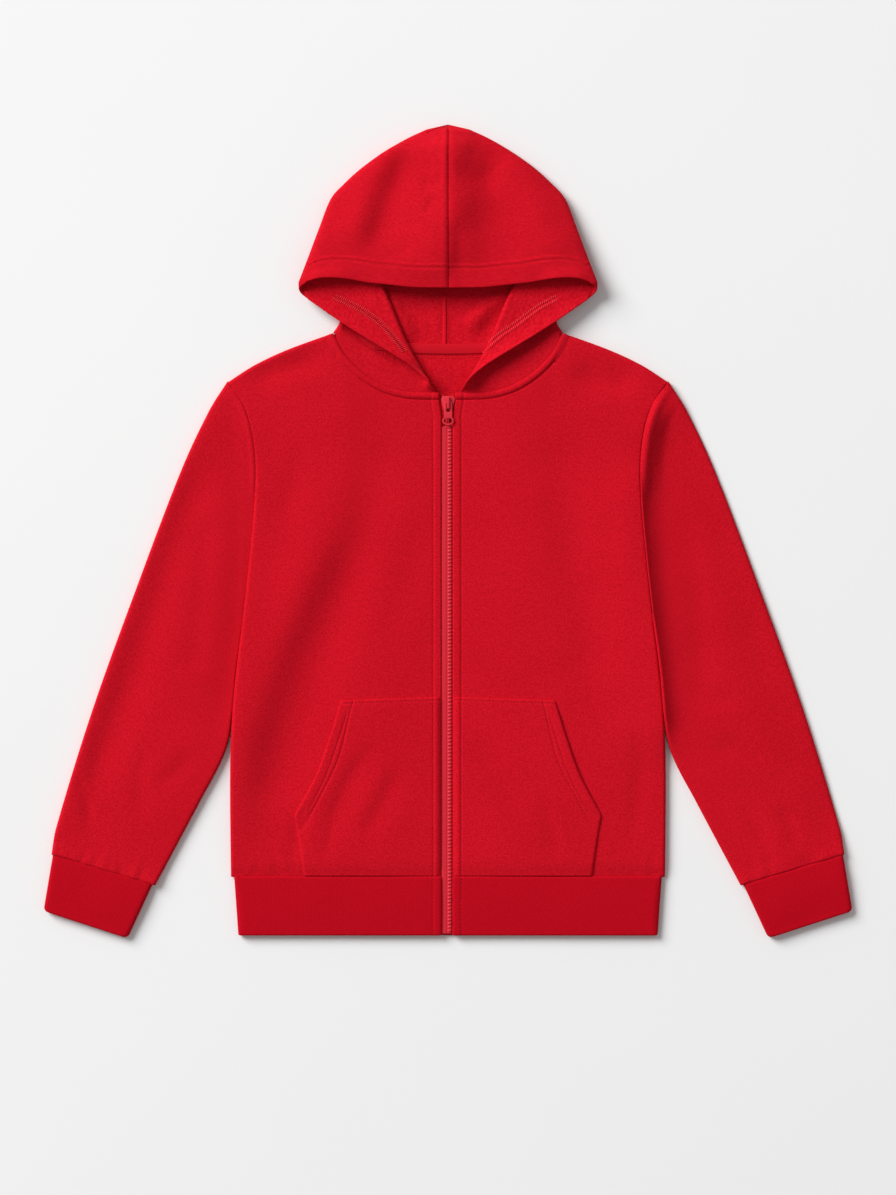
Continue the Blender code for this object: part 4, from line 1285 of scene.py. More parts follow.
# ---- Body ------------------------------------------------------------------
@dataclass
class Body:
    """The back and the two fronts."""

    finishes: Wardrobe
    neck_band: float = 5.6      # width of the doubled edge along the neck seam
    neck_puff: float = 0.9      # how much it rounds out
    band_rise: float = 0.5      # how much the doubled edges stand up
    zip_groove: float = 0.6
    neck_groove: float = 0.8
    # How much the body stands up beside the sleeve
    armhole_puff: dict[Side, float] = sides(1.8, 4.6)
    # Radius and drop of its edge there
    armhole_roll: dict[Side, Pair] = sides((2.2, 3.0), (1.4, 1.5))
    puff_reach: dict[Side, float] = sides(17.0, 36.0)      # and how far in it is raised
    high_puff: float = 0.5      # the same puff and roll high on the armhole
    high_roll: float = 1.4
    low_part: Pair = (75.0, 50.0)    # where the lower part of the armhole ends
    puff_end: Pair = (-215.0, 45.0)    # where the puff fades down the side
    gathers: dict[Side, Gathers] = sides(Gathers(7, 190.0, 9.0, 0.55, 20.0),
                                         Gathers(11, 190.0, 9.0, 0.55, 20.0))
    plain: float = 12.0         # width beside the zip without puckers
    uneven: float = 0.10
    neck_roll: float = 1.1
    zip_roll: float = 0.9
    hem_roll: float = 1.2
    step: float = 2.2
    back_step: float = 4.0
    side_steps: int = 6         # round the folded sides
    lines: list[Array] = field(default_factory=list)

    def zip_edge(self, side: Side, y: Array) -> Array:
        """Distance of a front's edge from the middle of the zip."""
        return ZIP_EDGE[side] + ZIP_SPREAD * smooth((y - SPREAD_FROM) / SPREAD_OVER)

    def zip_corner(self, side: Side) -> float:
        """The same distance at the top of the zip."""
        return float(self.zip_edge(side, np.array(ZIP_TOP)))

    def front_surface(self, side: Side, x: Array, y: Array) -> Array:
        """Height of the middle of a front's cloth, with its folds and seams."""
        a = np.abs(x)
        to_zip = a - self.zip_edge(side, y)
        to_neck = away_from(a, y, FRONT_NECK, 48)
        to_arm = away_from(a, y, BODY_EDGE, 50)
        to_hem = y - HEM_SEAM
        level = front_level(x, y) - creased(FRONT_CREASES, x, y) - ripple(x, y, self.uneven)
        level = level + self.band_rise * (band(to_zip, ZIP_FACING) + band(to_neck, self.neck_band))
        level = level + self.neck_puff * np.sin(np.pi * np.clip(to_neck / self.neck_band, 0.0, 1.0))
        level = level - groove(to_zip - ZIP_FACING, self.zip_groove)
        level = level - groove(to_neck - self.neck_band, self.neck_groove)
        low = before(y, *self.low_part)
        fade = past(y, *self.puff_end)
        puff = mix(self.high_puff, self.armhole_puff[side], low) * fade
        level = level + puff * bell(to_arm, self.puff_reach[side]) - seam_sink(y)
        level = level - self.gathers[side].sink(a, to_hem) * smooth(to_zip / self.plain)
        level = np.maximum(level, BACK_LEVEL + OVER_BACK)
        for away, radius in ((to_neck, self.neck_roll), (to_zip, self.zip_roll),
                             (to_hem, self.hem_roll)):
            level = level - edge_roll(away, radius)
        radius, drop = self.armhole_roll[side]
        return level - edge_roll(to_arm, mix(self.high_roll, radius, low),
                                 mix(self.high_roll, drop, low) * fade)

    def half_panel(self, neck: Points, inner: Callable, side: Side, level: Callable,
                   turned: int, across: Array, down: Array) -> Array:
        """Grid of points of half a body panel.

        Args:
            neck: Outline of the neck.
            inner: Distance of the inner edge from the centre, by y.
            side: The wearer's side.
            level: Height by x and y.
            turned: 1 where the sides turn up, -1 where they turn down.
            across: Distances from the inner edge, to be scaled to the panel's width.
            down: Distances from the top, to be scaled to its height.

        Returns:
            Points by row and column.
        """
        top = Bent(neck, SHOULDER)
        outer = Bent(ARMHOLE, SIDE_SEAM)
        foot_in = np.array((float(inner(np.array(HEM_SEAM))), HEM_SEAM))
        foot_out = np.array(SIDE_SEAM[-1])
        top_y = neck[0][1]

        def inner_edge(t: Array) -> Array:
            """Edge along the zip or the centre line."""
            y = mix(top_y, HEM_SEAM, t)
            return np.stack((inner(y) + 0 * y, y), -1)

        limit = math.acos(FOLD_SEAM / 2 / FOLD)
        angles = limit * np.arange(1, self.side_steps + 1) / self.side_steps
        width = SIDE_SEAM[-1][0] - foot_in[0]
        height = ZIP_TOP - HEM_SEAM
        flat = 1 - FOLD / width
        s = np.concatenate((across / across[-1] * flat, 1 - FOLD * (1 - np.sin(angles)) / width))
        s_drop = np.concatenate((np.zeros(len(across)), FOLD * (1 - np.cos(angles))))
        t0 = FOLD / height
        t = np.concatenate((FOLD * (1 - np.sin(angles[::-1])) / height,
                            t0 + down / down[-1] * (1 - t0)))
        t_drop = np.concatenate((FOLD * (1 - np.cos(angles[::-1])), np.zeros(len(down))))
        S, T = np.meshgrid(s, t)
        plan = coons(top.at, lambda u: mix(foot_in, foot_out, u[..., None]), inner_edge, outer.at,
                     S, T)
        drop = np.maximum(s_drop[None, :] * past(T, outer.corner, SIDE_RAMP),
                          t_drop[:, None] * past(S, top.corner, SHOULDER_RAMP))
        x = plan[..., 0] * side.value
        y = plan[..., 1]
        return np.stack((x, y, level(x, y) + turned * drop), -1)

    def build_front(self, side: Side) -> Piece:
        """One front, from the zip to the side seam."""
        across = spread((0.0, 1.4, 0.35), (1.4, 9.0, 0.85), (9.0, 178.0, self.step),
                        (178.0, 184.0, 0.9))
        down = spread((0.0, 8.0, 0.7), (8.0, 416.0, self.step), (416.0, 424.0, 0.8))
        neck = ((self.zip_corner(side), ZIP_TOP), *FRONT_NECK[1:])
        grid = self.half_panel(neck, lambda y: self.zip_edge(side, y), side,
                               lambda x, y: self.front_surface(side, x, y), -1, across, down)
        cloth = cloth_of_rows("front_" + side.label + "_cloth", list(grid), CLOTH)
        piece = dress(cloth, "sweatshirt_knit", "front_" + side.label, self.finishes.shell)
        self.sew_front(side)
        return piece

    def sew_front(self, side: Side) -> None:
        """Note the sewn lines along the zip and the neck."""
        y = np.linspace(ZIP_TOP - self.neck_band - 0.5, HEM_SEAM + 1.0, 160)
        self.note(side, self.zip_edge(side, y) + ZIP_FACING, y)
        line = aside(Line(FRONT_NECK).sampled(60), -self.neck_band)
        line = line[line[:, 0] > self.zip_corner(side) + 0.8]
        self.note(side, line[:, 0], line[:, 1])

    def note(self, side: Side, a: Array, y: Array) -> None:
        """Keep a sewn line that lies on a front."""
        x = a * side.value
        self.lines.append(np.stack((x, y, self.front_surface(side, x, y) + LAID_THREAD), -1))

    def build_back(self) -> Piece:
        """The back, in one panel from side to side, flat on the surface."""
        across = spread((0.0, 176.0, self.back_step), (176.0, 184.0, 1.4))
        down = spread((0.0, 12.0, 1.2), (12.0, 416.0, self.back_step), (416.0, 424.0, 1.3))

        def level(x: Array, y: Array) -> Array:
            """Flat on the surface, a little raised within the neck."""
            return BACK_LEVEL + inside_rise(x, y)

        halves = [self.half_panel(BACK_NECK, lambda y: 0.0 * y, side, level, 1, across, down)
                  for side in Side]
        rows = [np.concatenate((right[::-1][:-1], left)) for right, left in zip(*halves)]
        cloth = cloth_of_rows("back_panel_cloth", rows, CLOTH, centre=len(halves[0][0]) - 1)
        piece = dress(cloth, "sweatshirt_knit", "back_panel", self.finishes.shell[::-1])
        return piece

    def build(self) -> None:
        """Back and fronts."""
        self.build_back()
        for side in Side:
            self.build_front(side)


# ---- Bands of rib ----------------------------------------------------------
@dataclass
class Bands:
    """The hem rib and the two cuffs."""

    finishes: Wardrobe
    arc_steps: int = 12         # round the hem's folded sides
    back_steps: int = 48        # across half its back layer
    band_rise: float = 0.35     # how much the doubled zip edge stands up
    band_groove: float = 0.4
    zip_roll: float = 1.0
    top_roll: float = 1.2
    puff: float = 0.5
    uneven: float = 0.12
    cuff_length: float = 50.0
    cuff_steps: tuple[int, int, int] = (30, 24, 8)      # across its layers, round its sides
    squeeze: float = 0.9        # how much its end draws in, as a share of the corner's drop
    cuff_puff: float = 0.8
    cuff_roll: float = 1.4
    cuff_uneven: float = 0.2
    end_radius: float = 3.0     # corner of the cuff's folded end
    lines: list[Array] = field(default_factory=list)

    def hem_row(self, y: float, half: float, dip: float) -> Array:
        """Points once round the hem at y, from zip edge to zip edge."""
        low = RIB / 2
        parts = []
        angles = math.pi * np.arange(1, self.arc_steps) / self.arc_steps
        out = half - HEM_FOLD
        for side in Side:
            start = ZIP_EDGE[side]
            front = spread((start, start + 9.0, 0.9), (start + 9.0, out, 3.2))
            count = len(front)
            a = np.concatenate((front, out + HEM_FOLD * np.sin(angles),
                                np.linspace(out, 3.0, self.back_steps)))
            z = np.concatenate((np.full(count, low + 2 * HEM_FOLD),
                                low + HEM_FOLD + HEM_FOLD * np.cos(angles),
                                np.full(self.back_steps, low)))
            to_zip = front - start
            x = side.value * a
            z[:count] += (self.band_rise * band(to_zip, ZIP_FACING)
                          - groove(to_zip - ZIP_FACING, self.band_groove)
                          - edge_roll(to_zip, self.zip_roll) + dip
                          - ripple(x[:count], y, self.uneven))
            parts.append(np.stack((x, np.full(len(a), y), z), -1))
        return np.concatenate((parts[0], ((0.0, y, low),), parts[1][::-1]))

    def build_hem(self) -> Piece:
        """Hem rib: one doubled band round both sides and across the back."""
        rows = []
        places = spread((0.0, 5.0, 0.8), (5.0, 44.0, 3.0), (44.0, 50.4, 0.8))
        for away in places:
            t = away / places[-1]
            drop = float(edge_roll(np.array(away), self.top_roll))
            rows.append(self.hem_row(mix(HEM_SEAM - 0.4, HEM_END, t),
                                     mix(HEM_HALF_TOP, HEM_HALF_END, t),
                                     self.puff * math.sin(math.pi * t) - drop))
        cloth = cloth_of_rows("hem_rib_cloth", rows, RIB, upward=np.arange(30))
        piece = dress(cloth, "rib_knit", "hem_rib", (self.finishes.rib,), 0.5)
        y = np.linspace(HEM_SEAM - 2.0, HEM_END + 1.0, 24)
        z = RIB / 2 + 2 * HEM_FOLD + RIB / 2 + 0.2
        for side in Side:
            x = side.value * (ZIP_EDGE[side] + ZIP_FACING)
            self.lines.append(np.stack((np.full(24, x), y, np.full(24, z)), -1))
        return piece

    def build_cuff(self, side: Side) -> Piece:
        """Cuff: a short doubled tube, a little narrower than the sleeve."""
        rows = []
        for away in spread((0.0, 4.0, 0.8), (4.0, 44.0, 2.8), (44.0, self.cuff_length, 0.8)):
            t = away / self.cuff_length
            outer = mix(np.array(CUFF_TOP[0]), np.array(CUFF_END[0]), t)
            inner = mix(np.array(CUFF_TOP[1]), np.array(CUFF_END[1]), t)
            width = float(np.linalg.norm(inner - outer))
            shares, z, is_top = flat_ring(width, CUFF_FOLD, RIB, *self.cuff_steps)
            corner = float(edge_roll(np.array(self.cuff_length - away), self.end_radius))
            shares = 0.5 + (shares - 0.5) * (1 - 2 * self.squeeze * corner / width)
            plan = mix(outer, inner, shares[:, None])
            x = plan[:, 0] * side.value
            lift = self.cuff_puff * math.sin(math.pi * min(t * 1.1, 1.0))
            lift = lift - float(edge_roll(np.array(away), self.cuff_roll))
            z = z + is_top * (lift - ripple(x, plan[:, 1], self.cuff_uneven))
            rows.append(np.stack((x, plan[:, 1], z), -1))
        cloth = cloth_of_rows("cuff_" + side.label + "_cloth", rows, RIB, closed=True,
                              upward=np.arange(4, 24), centre=self.cuff_steps[0] // 2)
        piece = dress(cloth, "rib_knit", "cuff_" + side.label, (self.finishes.rib,), 0.5)
        return piece

    def build(self) -> None:
        """Hem and cuffs."""
        self.build_hem()
        for side in Side:
            self.build_cuff(side)


def flat_ring(width: float, radius: float, thickness: float, top: int, bottom: int,
              arc: int) -> tuple[Array, Array, Array]:
    """Ring of a flattened tube.

    Args:
        width: Across the tube.
        radius: Of the folded sides.
        thickness: Of the cloth.
        top: Steps across the upper layer.
        bottom: Steps across the lower layer.
        arc: Steps round each side.

    Returns:
        Share across from outer to inner, height, and 1 on the upper layer falling to 0 below.
    """
    fold = radius / width
    low = thickness / 2
    mid = low + radius
    angles = math.pi * np.arange(1, arc) / arc
    share = np.concatenate((np.linspace(fold, 1 - fold, top + 1), 1 - fold + fold * np.sin(angles),
                            np.linspace(1 - fold, fold, bottom + 1), fold - fold * np.sin(angles)))
    z = np.concatenate((np.full(top + 1, mid + radius), mid + radius * np.cos(angles),
                        np.full(bottom + 1, low), mid - radius * np.cos(angles)))
    return share, z, smooth((z - low) / (2 * radius))


# ---- Sleeves ---------------------------------------------------------------
@dataclass
class Sleeves:
    """The two sleeves, flattened tubes from the armhole to the cuff."""

    finishes: Wardrobe
    length: float = 440.0
    fullness: float = 0.9       # the upper layer's crown
    flatness: float = 0.8       # power that flattens it in the middle
    crown_ends: Pair = (0.08, 0.03)    # share of the length over which it fades
    dip: float = 0.5            # how much its middle sinks
    margin: float = 0.03        # share of the width at either side that stays out of both
    folds: float = 0.5          # share of the CAD's folds that it shows
    uneven: float = 0.16
    edge_puff: dict[Side, float] = sides(2.2, -2.4)     # how the folded outer edge stands up
    edge_reach: float = 24.0
    edge_ends: Pair = (0.15, 0.1)
    trough: dict[Side, float] = sides(0.9, 1.2)         # how deep it falls away beside the body
    trough_near: dict[Side, float] = sides(8.0, 9.0)    # how far that reaches towards the body
    trough_wide: dict[Side, float] = sides(12.0, 50.0)  # and away from it
    trough_ends: Pair = (0.14, 0.2)
    # Height that the sleeve falls from beside the body, low down and high up
    fall: dict[Side, Pair] = sides((0.0, 0.0), (10.5, 7.0))
    fall_start: float = 6.0                 # where it falls from there, high on the armhole
    fall_wide: Pair = (7.5, 15.0)    # over what width, low down and high up
    fall_high: Pair = (25.0, 50.0)    # where the high part begins
    fall_span: Window = Window(-205.0, 50.0, 120.0, 30.0)
    head_gap: float = 0.6       # between the head and the armhole
    nestle: float = 1.4         # how much nearer the fold lies to the body below the armhole
    nestle_from: Pair = (0.8, 0.2)    # share of the armhole where that begins
    nestle_end: Pair = (-205.0, 30.0)    # and how far down it goes
    # Ridge along the armhole: height, place
    seam_ridge: dict[Side, Pair] = sides((0.8, 2.6), (3.0, 4.2))
    ridge_inner: float = 0.4    # where the ridge has ended
    ridge_span: Window = Window(22.0, 26.0, 132.0, 26.0)
    seam_groove: float = 0.6
    cuff_puff: float = 1.2
    cuff_reach: float = 8.0
    cuff_roll: float = 1.6
    cuff_width: float = 96.0
    gathers: dict[Side, Gathers] = sides(Gathers(29, 96.0, 8.0, 0.9, 17.0, 4.5),
                                         Gathers(23, 96.0, 8.0, 0.9, 17.0, 4.5))
    top_steps: int = 38
    bottom_steps: int = 24
    arc_steps: int = 8

    def beside_body(self, side: Side, a: Array, y: Array) -> Array:
        """Depth of the trough in which the sleeve falls away from the body."""
        near, sign, share = distance_to(a, y, Line(ARM_TROUGH[side]).sampled(50))
        reach = np.where(sign > 0, self.trough_wide[side], self.trough_near[side])
        return self.trough[side] * ends_off(share, *self.trough_ends) * bell(near, reach)

    def from_body(self, side: Side, a: Array, y: Array) -> Array:
        """Height from which the sleeve falls, next to the body."""
        away = away_from(a, y, BODY_EDGE, 50)
        low, high = self.fall[side]
        low_wide, high_wide = self.fall_wide
        fall = mix(low * np.exp(-away / low_wide),
                   high * (1.0 - past(away, self.fall_start, high_wide)), past(y, *self.fall_high))
        return fall * self.fall_span.at(y)

    def along_armhole(self, side: Side, a: Array, y: Array) -> Array:
        """Height of the ridge and the groove along the armhole."""
        away = away_from(a, y, ARMHOLE, 40)
        height, place = self.seam_ridge[side]
        ridge = height * bell(away - place, place - self.ridge_inner)
        return ridge * self.ridge_span.at(y) - groove(away, self.seam_groove)

    def along_cuff(self, side: Side, a: Array, y: Array, line: Array) -> Array:
        """Height of the puckered cloth over the cuff's seam line."""
        away, _, along = distance_to(a, y, line)
        return (self.cuff_puff * bell(away, self.cuff_reach) - edge_roll(away, self.cuff_roll)
                - self.gathers[side].sink(along * self.cuff_width, away))

    def crown(self, side: Side, s: Array, t: Array, from_edge: Array) -> Array:
        """How the upper layer bulges and sinks across its width.

        Args:
            side: The wearer's side.
            s: Share across.
            t: Share down.
            from_edge: Distance from the folded outer edge.

        Returns:
            Height over the plain tube.
        """
        across = np.clip((s - self.margin) / (1 - 2 * self.margin), 0.0, 1.0)
        bulge = np.sin(np.pi * across)
        dip = self.dip * np.sin(np.pi * t) * bulge
        crown = self.fullness * bulge ** self.flatness * ends_off(t, *self.crown_ends)
        puff = self.edge_puff[side] * bell(from_edge, self.edge_reach)
        return crown - dip + puff * ends_off(t, *self.edge_ends)

    def build_one(self, side: Side) -> Piece:
        """One sleeve."""
        armhole, outer, inner = Line(ARMHOLE), Line(SLEEVE_OUTER), Line(SLEEVE_INNER)
        shift = SLEEVE_INNER[0][0] - ARMHOLE[-1][0]

        def head(s: Array) -> Array:
            """Edge along the armhole."""
            clear = mix(self.head_gap, shift - self.nestle, past(s, *self.nestle_from))
            return armhole.at(s) + np.stack((clear, 0 * clear), -1)

        def fold(t: Array) -> Array:
            """Folded edge beside the body."""
            point = inner.at(t)
            near = self.nestle * past(point[..., 1], *self.nestle_end)
            return point - np.stack((near, 0 * near), -1)

        def foot(s: Array) -> Array:
            """Edge along the cuff."""
            return mix(outer.at(1.0), inner.at(1.0), np.asarray(s)[..., None])

        t = spread((0.0, 6.0, 0.9), (6.0, 24.0, 1.8), (24.0, 414.0, 3.0), (414.0, 434.0, 1.8),
                   (434.0, self.length, 0.8)) / self.length
        width = np.linalg.norm(outer.at(t) - inner.at(t), axis=1)
        rings = [flat_ring(float(w), FOLD, CLOTH, self.top_steps, self.bottom_steps, self.arc_steps)
                 for w in width]
        S, Z, upper = (np.array([ring[k] for ring in rings]) for k in range(3))
        T = np.repeat(t[:, None], S.shape[1], axis=1)
        plan = coons(head, foot, outer.at, fold, S, T)
        a, y = plan[..., 0], plan[..., 1]
        x = a * side.value
        level = (self.crown(side, S, T, S * width[:, None]) - self.folds * fold_depth(x, y)
                 - creased(SLEEVE_CREASES, x, y) - ripple(x, y, self.uneven)
                 - self.beside_body(side, a, y) + self.from_body(side, a, y)
                 + self.along_armhole(side, a, y)
                 + self.along_cuff(side, a, y, np.array((outer.at(1.0), inner.at(1.0)))))
        Z = Z + level * upper
        Z = np.where(upper > 0.98, np.maximum(Z, BACK_LEVEL + OVER_BACK), Z)
        rows = list(np.stack((x, y, Z), -1))
        cloth = cloth_of_rows("sleeve_" + side.label + "_cloth", rows, CLOTH, closed=True,
                              upward=np.arange(4, 30), centre=self.top_steps // 2)
        piece = dress(cloth, "sweatshirt_knit", "sleeve_" + side.label, self.finishes.shell)
        return piece

    def build(self) -> None:
        """Both sleeves."""
        for side in Side:
            self.build_one(side)


# ---- Hood ------------------------------------------------------------------
def heading(start: Array, end: Array) -> Array:
    """Unit direction in plan."""
    way = np.asarray(end, float)[:2] - np.asarray(start, float)[:2]
    return way / np.linalg.norm(way)


def table_at(columns: Sequence[str], table: Points, t: float) -> dict[str, float]:
    """Row of a table at t, 0 at its first row and 1 at its last, by column name."""
    points = np.array(table, float)
    knots = np.arange(len(points), dtype=float)
    return dict(zip(columns, hermite(points, knots, np.array(t * knots[-1])).tolist()))


@dataclass
class Hood:
    """The hood, opened out above the neck, its front edges turned back to the sides."""

    finishes: Wardrobe
    roll: float = 2.7           # radius of the turned edge
    rim: float = 4.4            # and of the crown's outer rim
    # How evenly the crown falls from its seam to the rim
    straight: dict[Side, float] = sides(0.6, 0.1)
    lapel_level: float = 8.8
    middle_rise: float = 0.8
    neck_clear: float = 0.6     # gap to the front's neck edge
    seam_steps: int = 500       # places at which that seam is known
    nearby: float = 0.01        # share over which directions are measured
    hem: float = 19.9           # width of the doubled edge round the face
    sewn: float = 16.8          # how far its sewn line lies from the edge
    brim_puff: float = 3.0      # how much the brim stands up beside the corners
    arc: int = 7
    floor_run: int = 28
    middle_run: int = 18
    lapel_run: int = 40
    upper_run: int = 46
    lapel_lines: int = 60
    brim_lines: int = 28        # rows within the doubled edge of the crown
    crown_lines: int = 80
    corner_lines: int = 10
    corner_bulge: float = 1.0   # how far the free edge rounds out below the brim
    flap_rise: float = 2.8
    hollow: float = 1.2         # how far the outer side sinks under the flap
    sag: float = 0.9            # how far the middle of the lapel sinks
    sag_width: float = 40.0     # width of lapel from which it sinks fully
    least_turn: float = 0.02
    floor_ease: float = 1.8     # how the columns of the floor crowd towards the back seam
    rim_share: float = 0.44     # radius of the rim at most, as a share of the crown's height
    brim_share: float = 0.16    # share of the crown within its doubled edge
    bow_fade: float = 3.0       # how soon the crown's rows lose the brim's bow
    top_rise: float = 3.2       # height of the hood's last point over the back
    middle_gap: float = 0.2     # between the halves
    seam_width: float = 60.0    # width over which the floor is drawn towards its seam
    seam_end: float = 300.0
    far: float = 60.0
    hem_rise: float = 0.8
    hem_groove: Pair = (0.8, 1.1)    # grooves: depth, width
    cover_groove: Pair = (0.6, 1.6)
    neck_groove: Pair = (1.5, 0.9)
    neck_ridge: tuple[float, float, float] = (-0.4, 2.4, 1.3)       # ridges: height, place, width
    crown_seam: dict[Side, Points] = sides(((0.7, 2.2, 2.4), (-0.6, 0.0, 0.9)), ((-0.9, 0.0, 2.8),))
    cover_rise: float = 0.7     # how much the flap stands up past its cover stitch
    brim_reach: float = 9.0
    brim_span: Window = Window(74.0, 26.0, 127.0, 14.0)
    creased_from: Pair = (6.0, 5.0)    # height where the crown's creases begin
    ripple_scale: float = 1.2
    uneven: float = 0.28
    back_seam: float = -2.6     # place of the seam down the back of the neck
    ladder: float = 3.6         # width of the cover stitch
    lines: list[Array] = field(default_factory=list)
    ladders: list[Array] = field(default_factory=list)

    def __post_init__(self) -> None:
        """Read the neck seam once."""
        line = Line(FRONT_NECK)
        shares = np.linspace(0.0, 1.0, self.seam_steps + 1)
        ahead = line.at(np.minimum(shares + self.nearby, 1.0))
        behind = line.at(np.maximum(shares - self.nearby, 0.0))
        way = ahead - behind
        way = way / np.linalg.norm(way, axis=1)[:, None]
        self.seam = line.at(shares) + np.stack((-way[:, 1], way[:, 0]), -1) * self.neck_clear

    @property
    def lower_count(self) -> int:
        """Points of a row from the back seam to the free edge."""
        return self.floor_run + 2 * self.arc + self.middle_run + self.lapel_run + 1

    def seam_at(self, share: Array) -> Array:
        """Neck seam of the hood at shares of its length."""
        place = np.asarray(share, float) * self.seam_steps
        known = np.arange(self.seam_steps + 1)
        return np.stack([np.interp(place, known, self.seam[:, k]) for k in (0, 1)], -1)

    def middle_path(self, row: dict[str, float]) -> Callable[[Array], Array]:
        """Plan path from the side fold to the roll, bowed like the neck seam near it."""
        passed = np.nonzero(self.seam[:, 0] <= row["roll_x"])[0]
        near = passed[-1] / self.seam_steps if len(passed) else 0.0
        fold = np.array((row["fold_x"], row["fold_y"]))
        tip = np.array((row["roll_x"], row["roll_y"]))

        def at(share: Array) -> Array:
            """Points of the path."""
            share = np.asarray(share, float)
            bowed = self.seam_at(mix(1.0, near, share))
            chord = mix(self.seam_at(1.0), self.seam_at(near), share[..., None])
            return mix(fold, tip, share[..., None]) + (bowed - chord) * row["neck"]

        return at

    def turned(self, tip: Array, way: Array, radius: float, z: float) -> Array:
        """Half-turn fold out to tip along way, rising from z by twice the radius."""
        angle = math.pi * np.arange(self.arc + 1) / self.arc
        out = radius * (np.sin(angle) - 1)
        plan = np.asarray(tip)[None] + np.asarray(way)[None] * out[:, None]
        return np.column_stack((plan, z + radius * (1 - np.cos(angle))))

    def rolled_edge(self, row: dict[str, float], start_z: float, target: Array) -> Array:
        """Points from the side fold to the free edge: the middle layer, the roll and the lapel.

        Args:
            row: The table's row.
            start_z: Height of the middle layer at the side fold.
            target: The lapel's far point, which it reaches where the edge is fully turned over.

        Returns:
            Points.
        """
        path = self.middle_path(row)
        turn = max(row["turn"], self.least_turn)
        bend = math.pi * turn
        radius = self.roll / turn
        tip = path(1.0)
        inward = heading(path(0.95), tip)
        lapel = float(np.linalg.norm(tip - target[:2]))
        reach = radius
        if bend < math.pi / 2:
            reach = radius * math.sin(bend) + lapel * math.cos(bend)
        share = 1 - reach / float(np.linalg.norm(path(0.0) - tip))
        steps = np.arange(1, self.middle_run + 1) / self.middle_run
        place = path(share * steps)
        settled = start_z + self.middle_rise * steps
        seamed = front_level(place[:, 0], place[:, 1])
        settled = mix(settled, seamed, row["neck"] ** 2)
        hollow = row.get("rise", 0.0) / self.flap_rise * self.hollow
        settled = settled - hollow * np.sin(np.pi * steps)
        middle = np.column_stack((place, settled))
        origin = middle[-1]
        angle = bend * np.arange(1, self.arc + 1) / self.arc
        arc = np.column_stack((origin[0] + inward[0] * radius * np.sin(angle),
                               origin[1] + inward[1] * radius * np.sin(angle),
                               origin[2] + radius * (1 - np.cos(angle))))
        end = arc[-1]
        outward = heading(end, target) if turn > 0.5 else -inward
        way = mix(inward, -outward, float(smooth(turn)))
        flat = math.cos(bend) * lapel
        free = np.array((*(end[:2] + way * flat), end[2] + math.sin(bend) * lapel))
        free = mix(free, target, float(smooth((turn - 0.5) * 2)))
        steps = np.arange(1, self.lapel_run + 1) / self.lapel_run
        run = mix(end, free, steps[:, None])
        sag = self.sag * row["turn"] * min(lapel / self.sag_width, 1.0)
        run[:, 2] -= sag * np.sin(np.pi * steps)
        run[:, 2] += row.get("rise", 0.0) * steps ** 2
        return np.concatenate((middle, arc, run))

    def lower_layers(self, row: dict[str, float], target: Array) -> Array:
        """Points from the back seam, round the side fold and the roll, to target."""
        fold = np.array((row["fold_x"], row["fold_y"]))
        back = np.array((0.0, row["back"]))
        side = self.turned(fold, heading(back, fold), FOLD, BACK_LEVEL)
        shares = np.linspace(0.0, 1.0, self.floor_run + 1) ** self.floor_ease
        run = mix(np.array((*back, BACK_LEVEL)), side[0], shares[:, None])
        if row["neck"] > 0.0:
            share = run[:, 0] / BACK_NECK[-1][0]
            bow = height_on(BACK_NECK, run[:, 0]) - mix(BACK_NECK[0][1], BACK_NECK[-1][1], share)
            run[:, 1] += bow * row["neck"]
        return np.concatenate((run, side[1:], self.rolled_edge(row, float(side[-1][2]), target)))

    def crown_row(self, row: dict[str, float], rim_way: Array, brim: float,
                  straight: float) -> Array:
        """Row that goes on over the rim to the crown seam.

        Args:
            row: The table's row.
            rim_way: Direction out over the rim.
            brim: 1 on the opening's edge, falling to 0.
            straight: How evenly the crown falls from the seam to the rim.

        Returns:
            Points.
        """
        rim = np.array((row["rim_x"], row["rim_y"]))
        radius = min(self.rim, self.rim_share * (row["crown_z"] - BACK_LEVEL))
        over = self.turned(rim, rim_way, radius, mix(BACK_LEVEL, self.lapel_level, row["depth"]))
        back = np.array((0.0, row["back"], BACK_LEVEL))
        row = dict(row, turn=1.0, neck=0.0)
        lower = np.linspace(back, over[0], self.lower_count)
        if row["depth"] > 0.0:
            folded = self.lower_layers(row, np.array((*over[0][:2], self.lapel_level)))
            lower = mix(lower, folded, row["depth"])
        share = np.arange(1, self.upper_run + 1) / self.upper_run
        x = mix(over[-1][0], 0.0, share)
        bow = height_on(BRIM, x) - mix(BRIM[0][1], BRIM[-1][1], x / BRIM[-1][0])
        y = mix(over[-1][1], row["crown"], share) + bow * brim
        rise = mix(np.sin(math.pi / 2 * share ** 0.75), share, straight)
        z = mix(over[-1][2], row["crown_z"], rise)
        return np.concatenate((lower, over[1:], np.column_stack((x, y, z))))

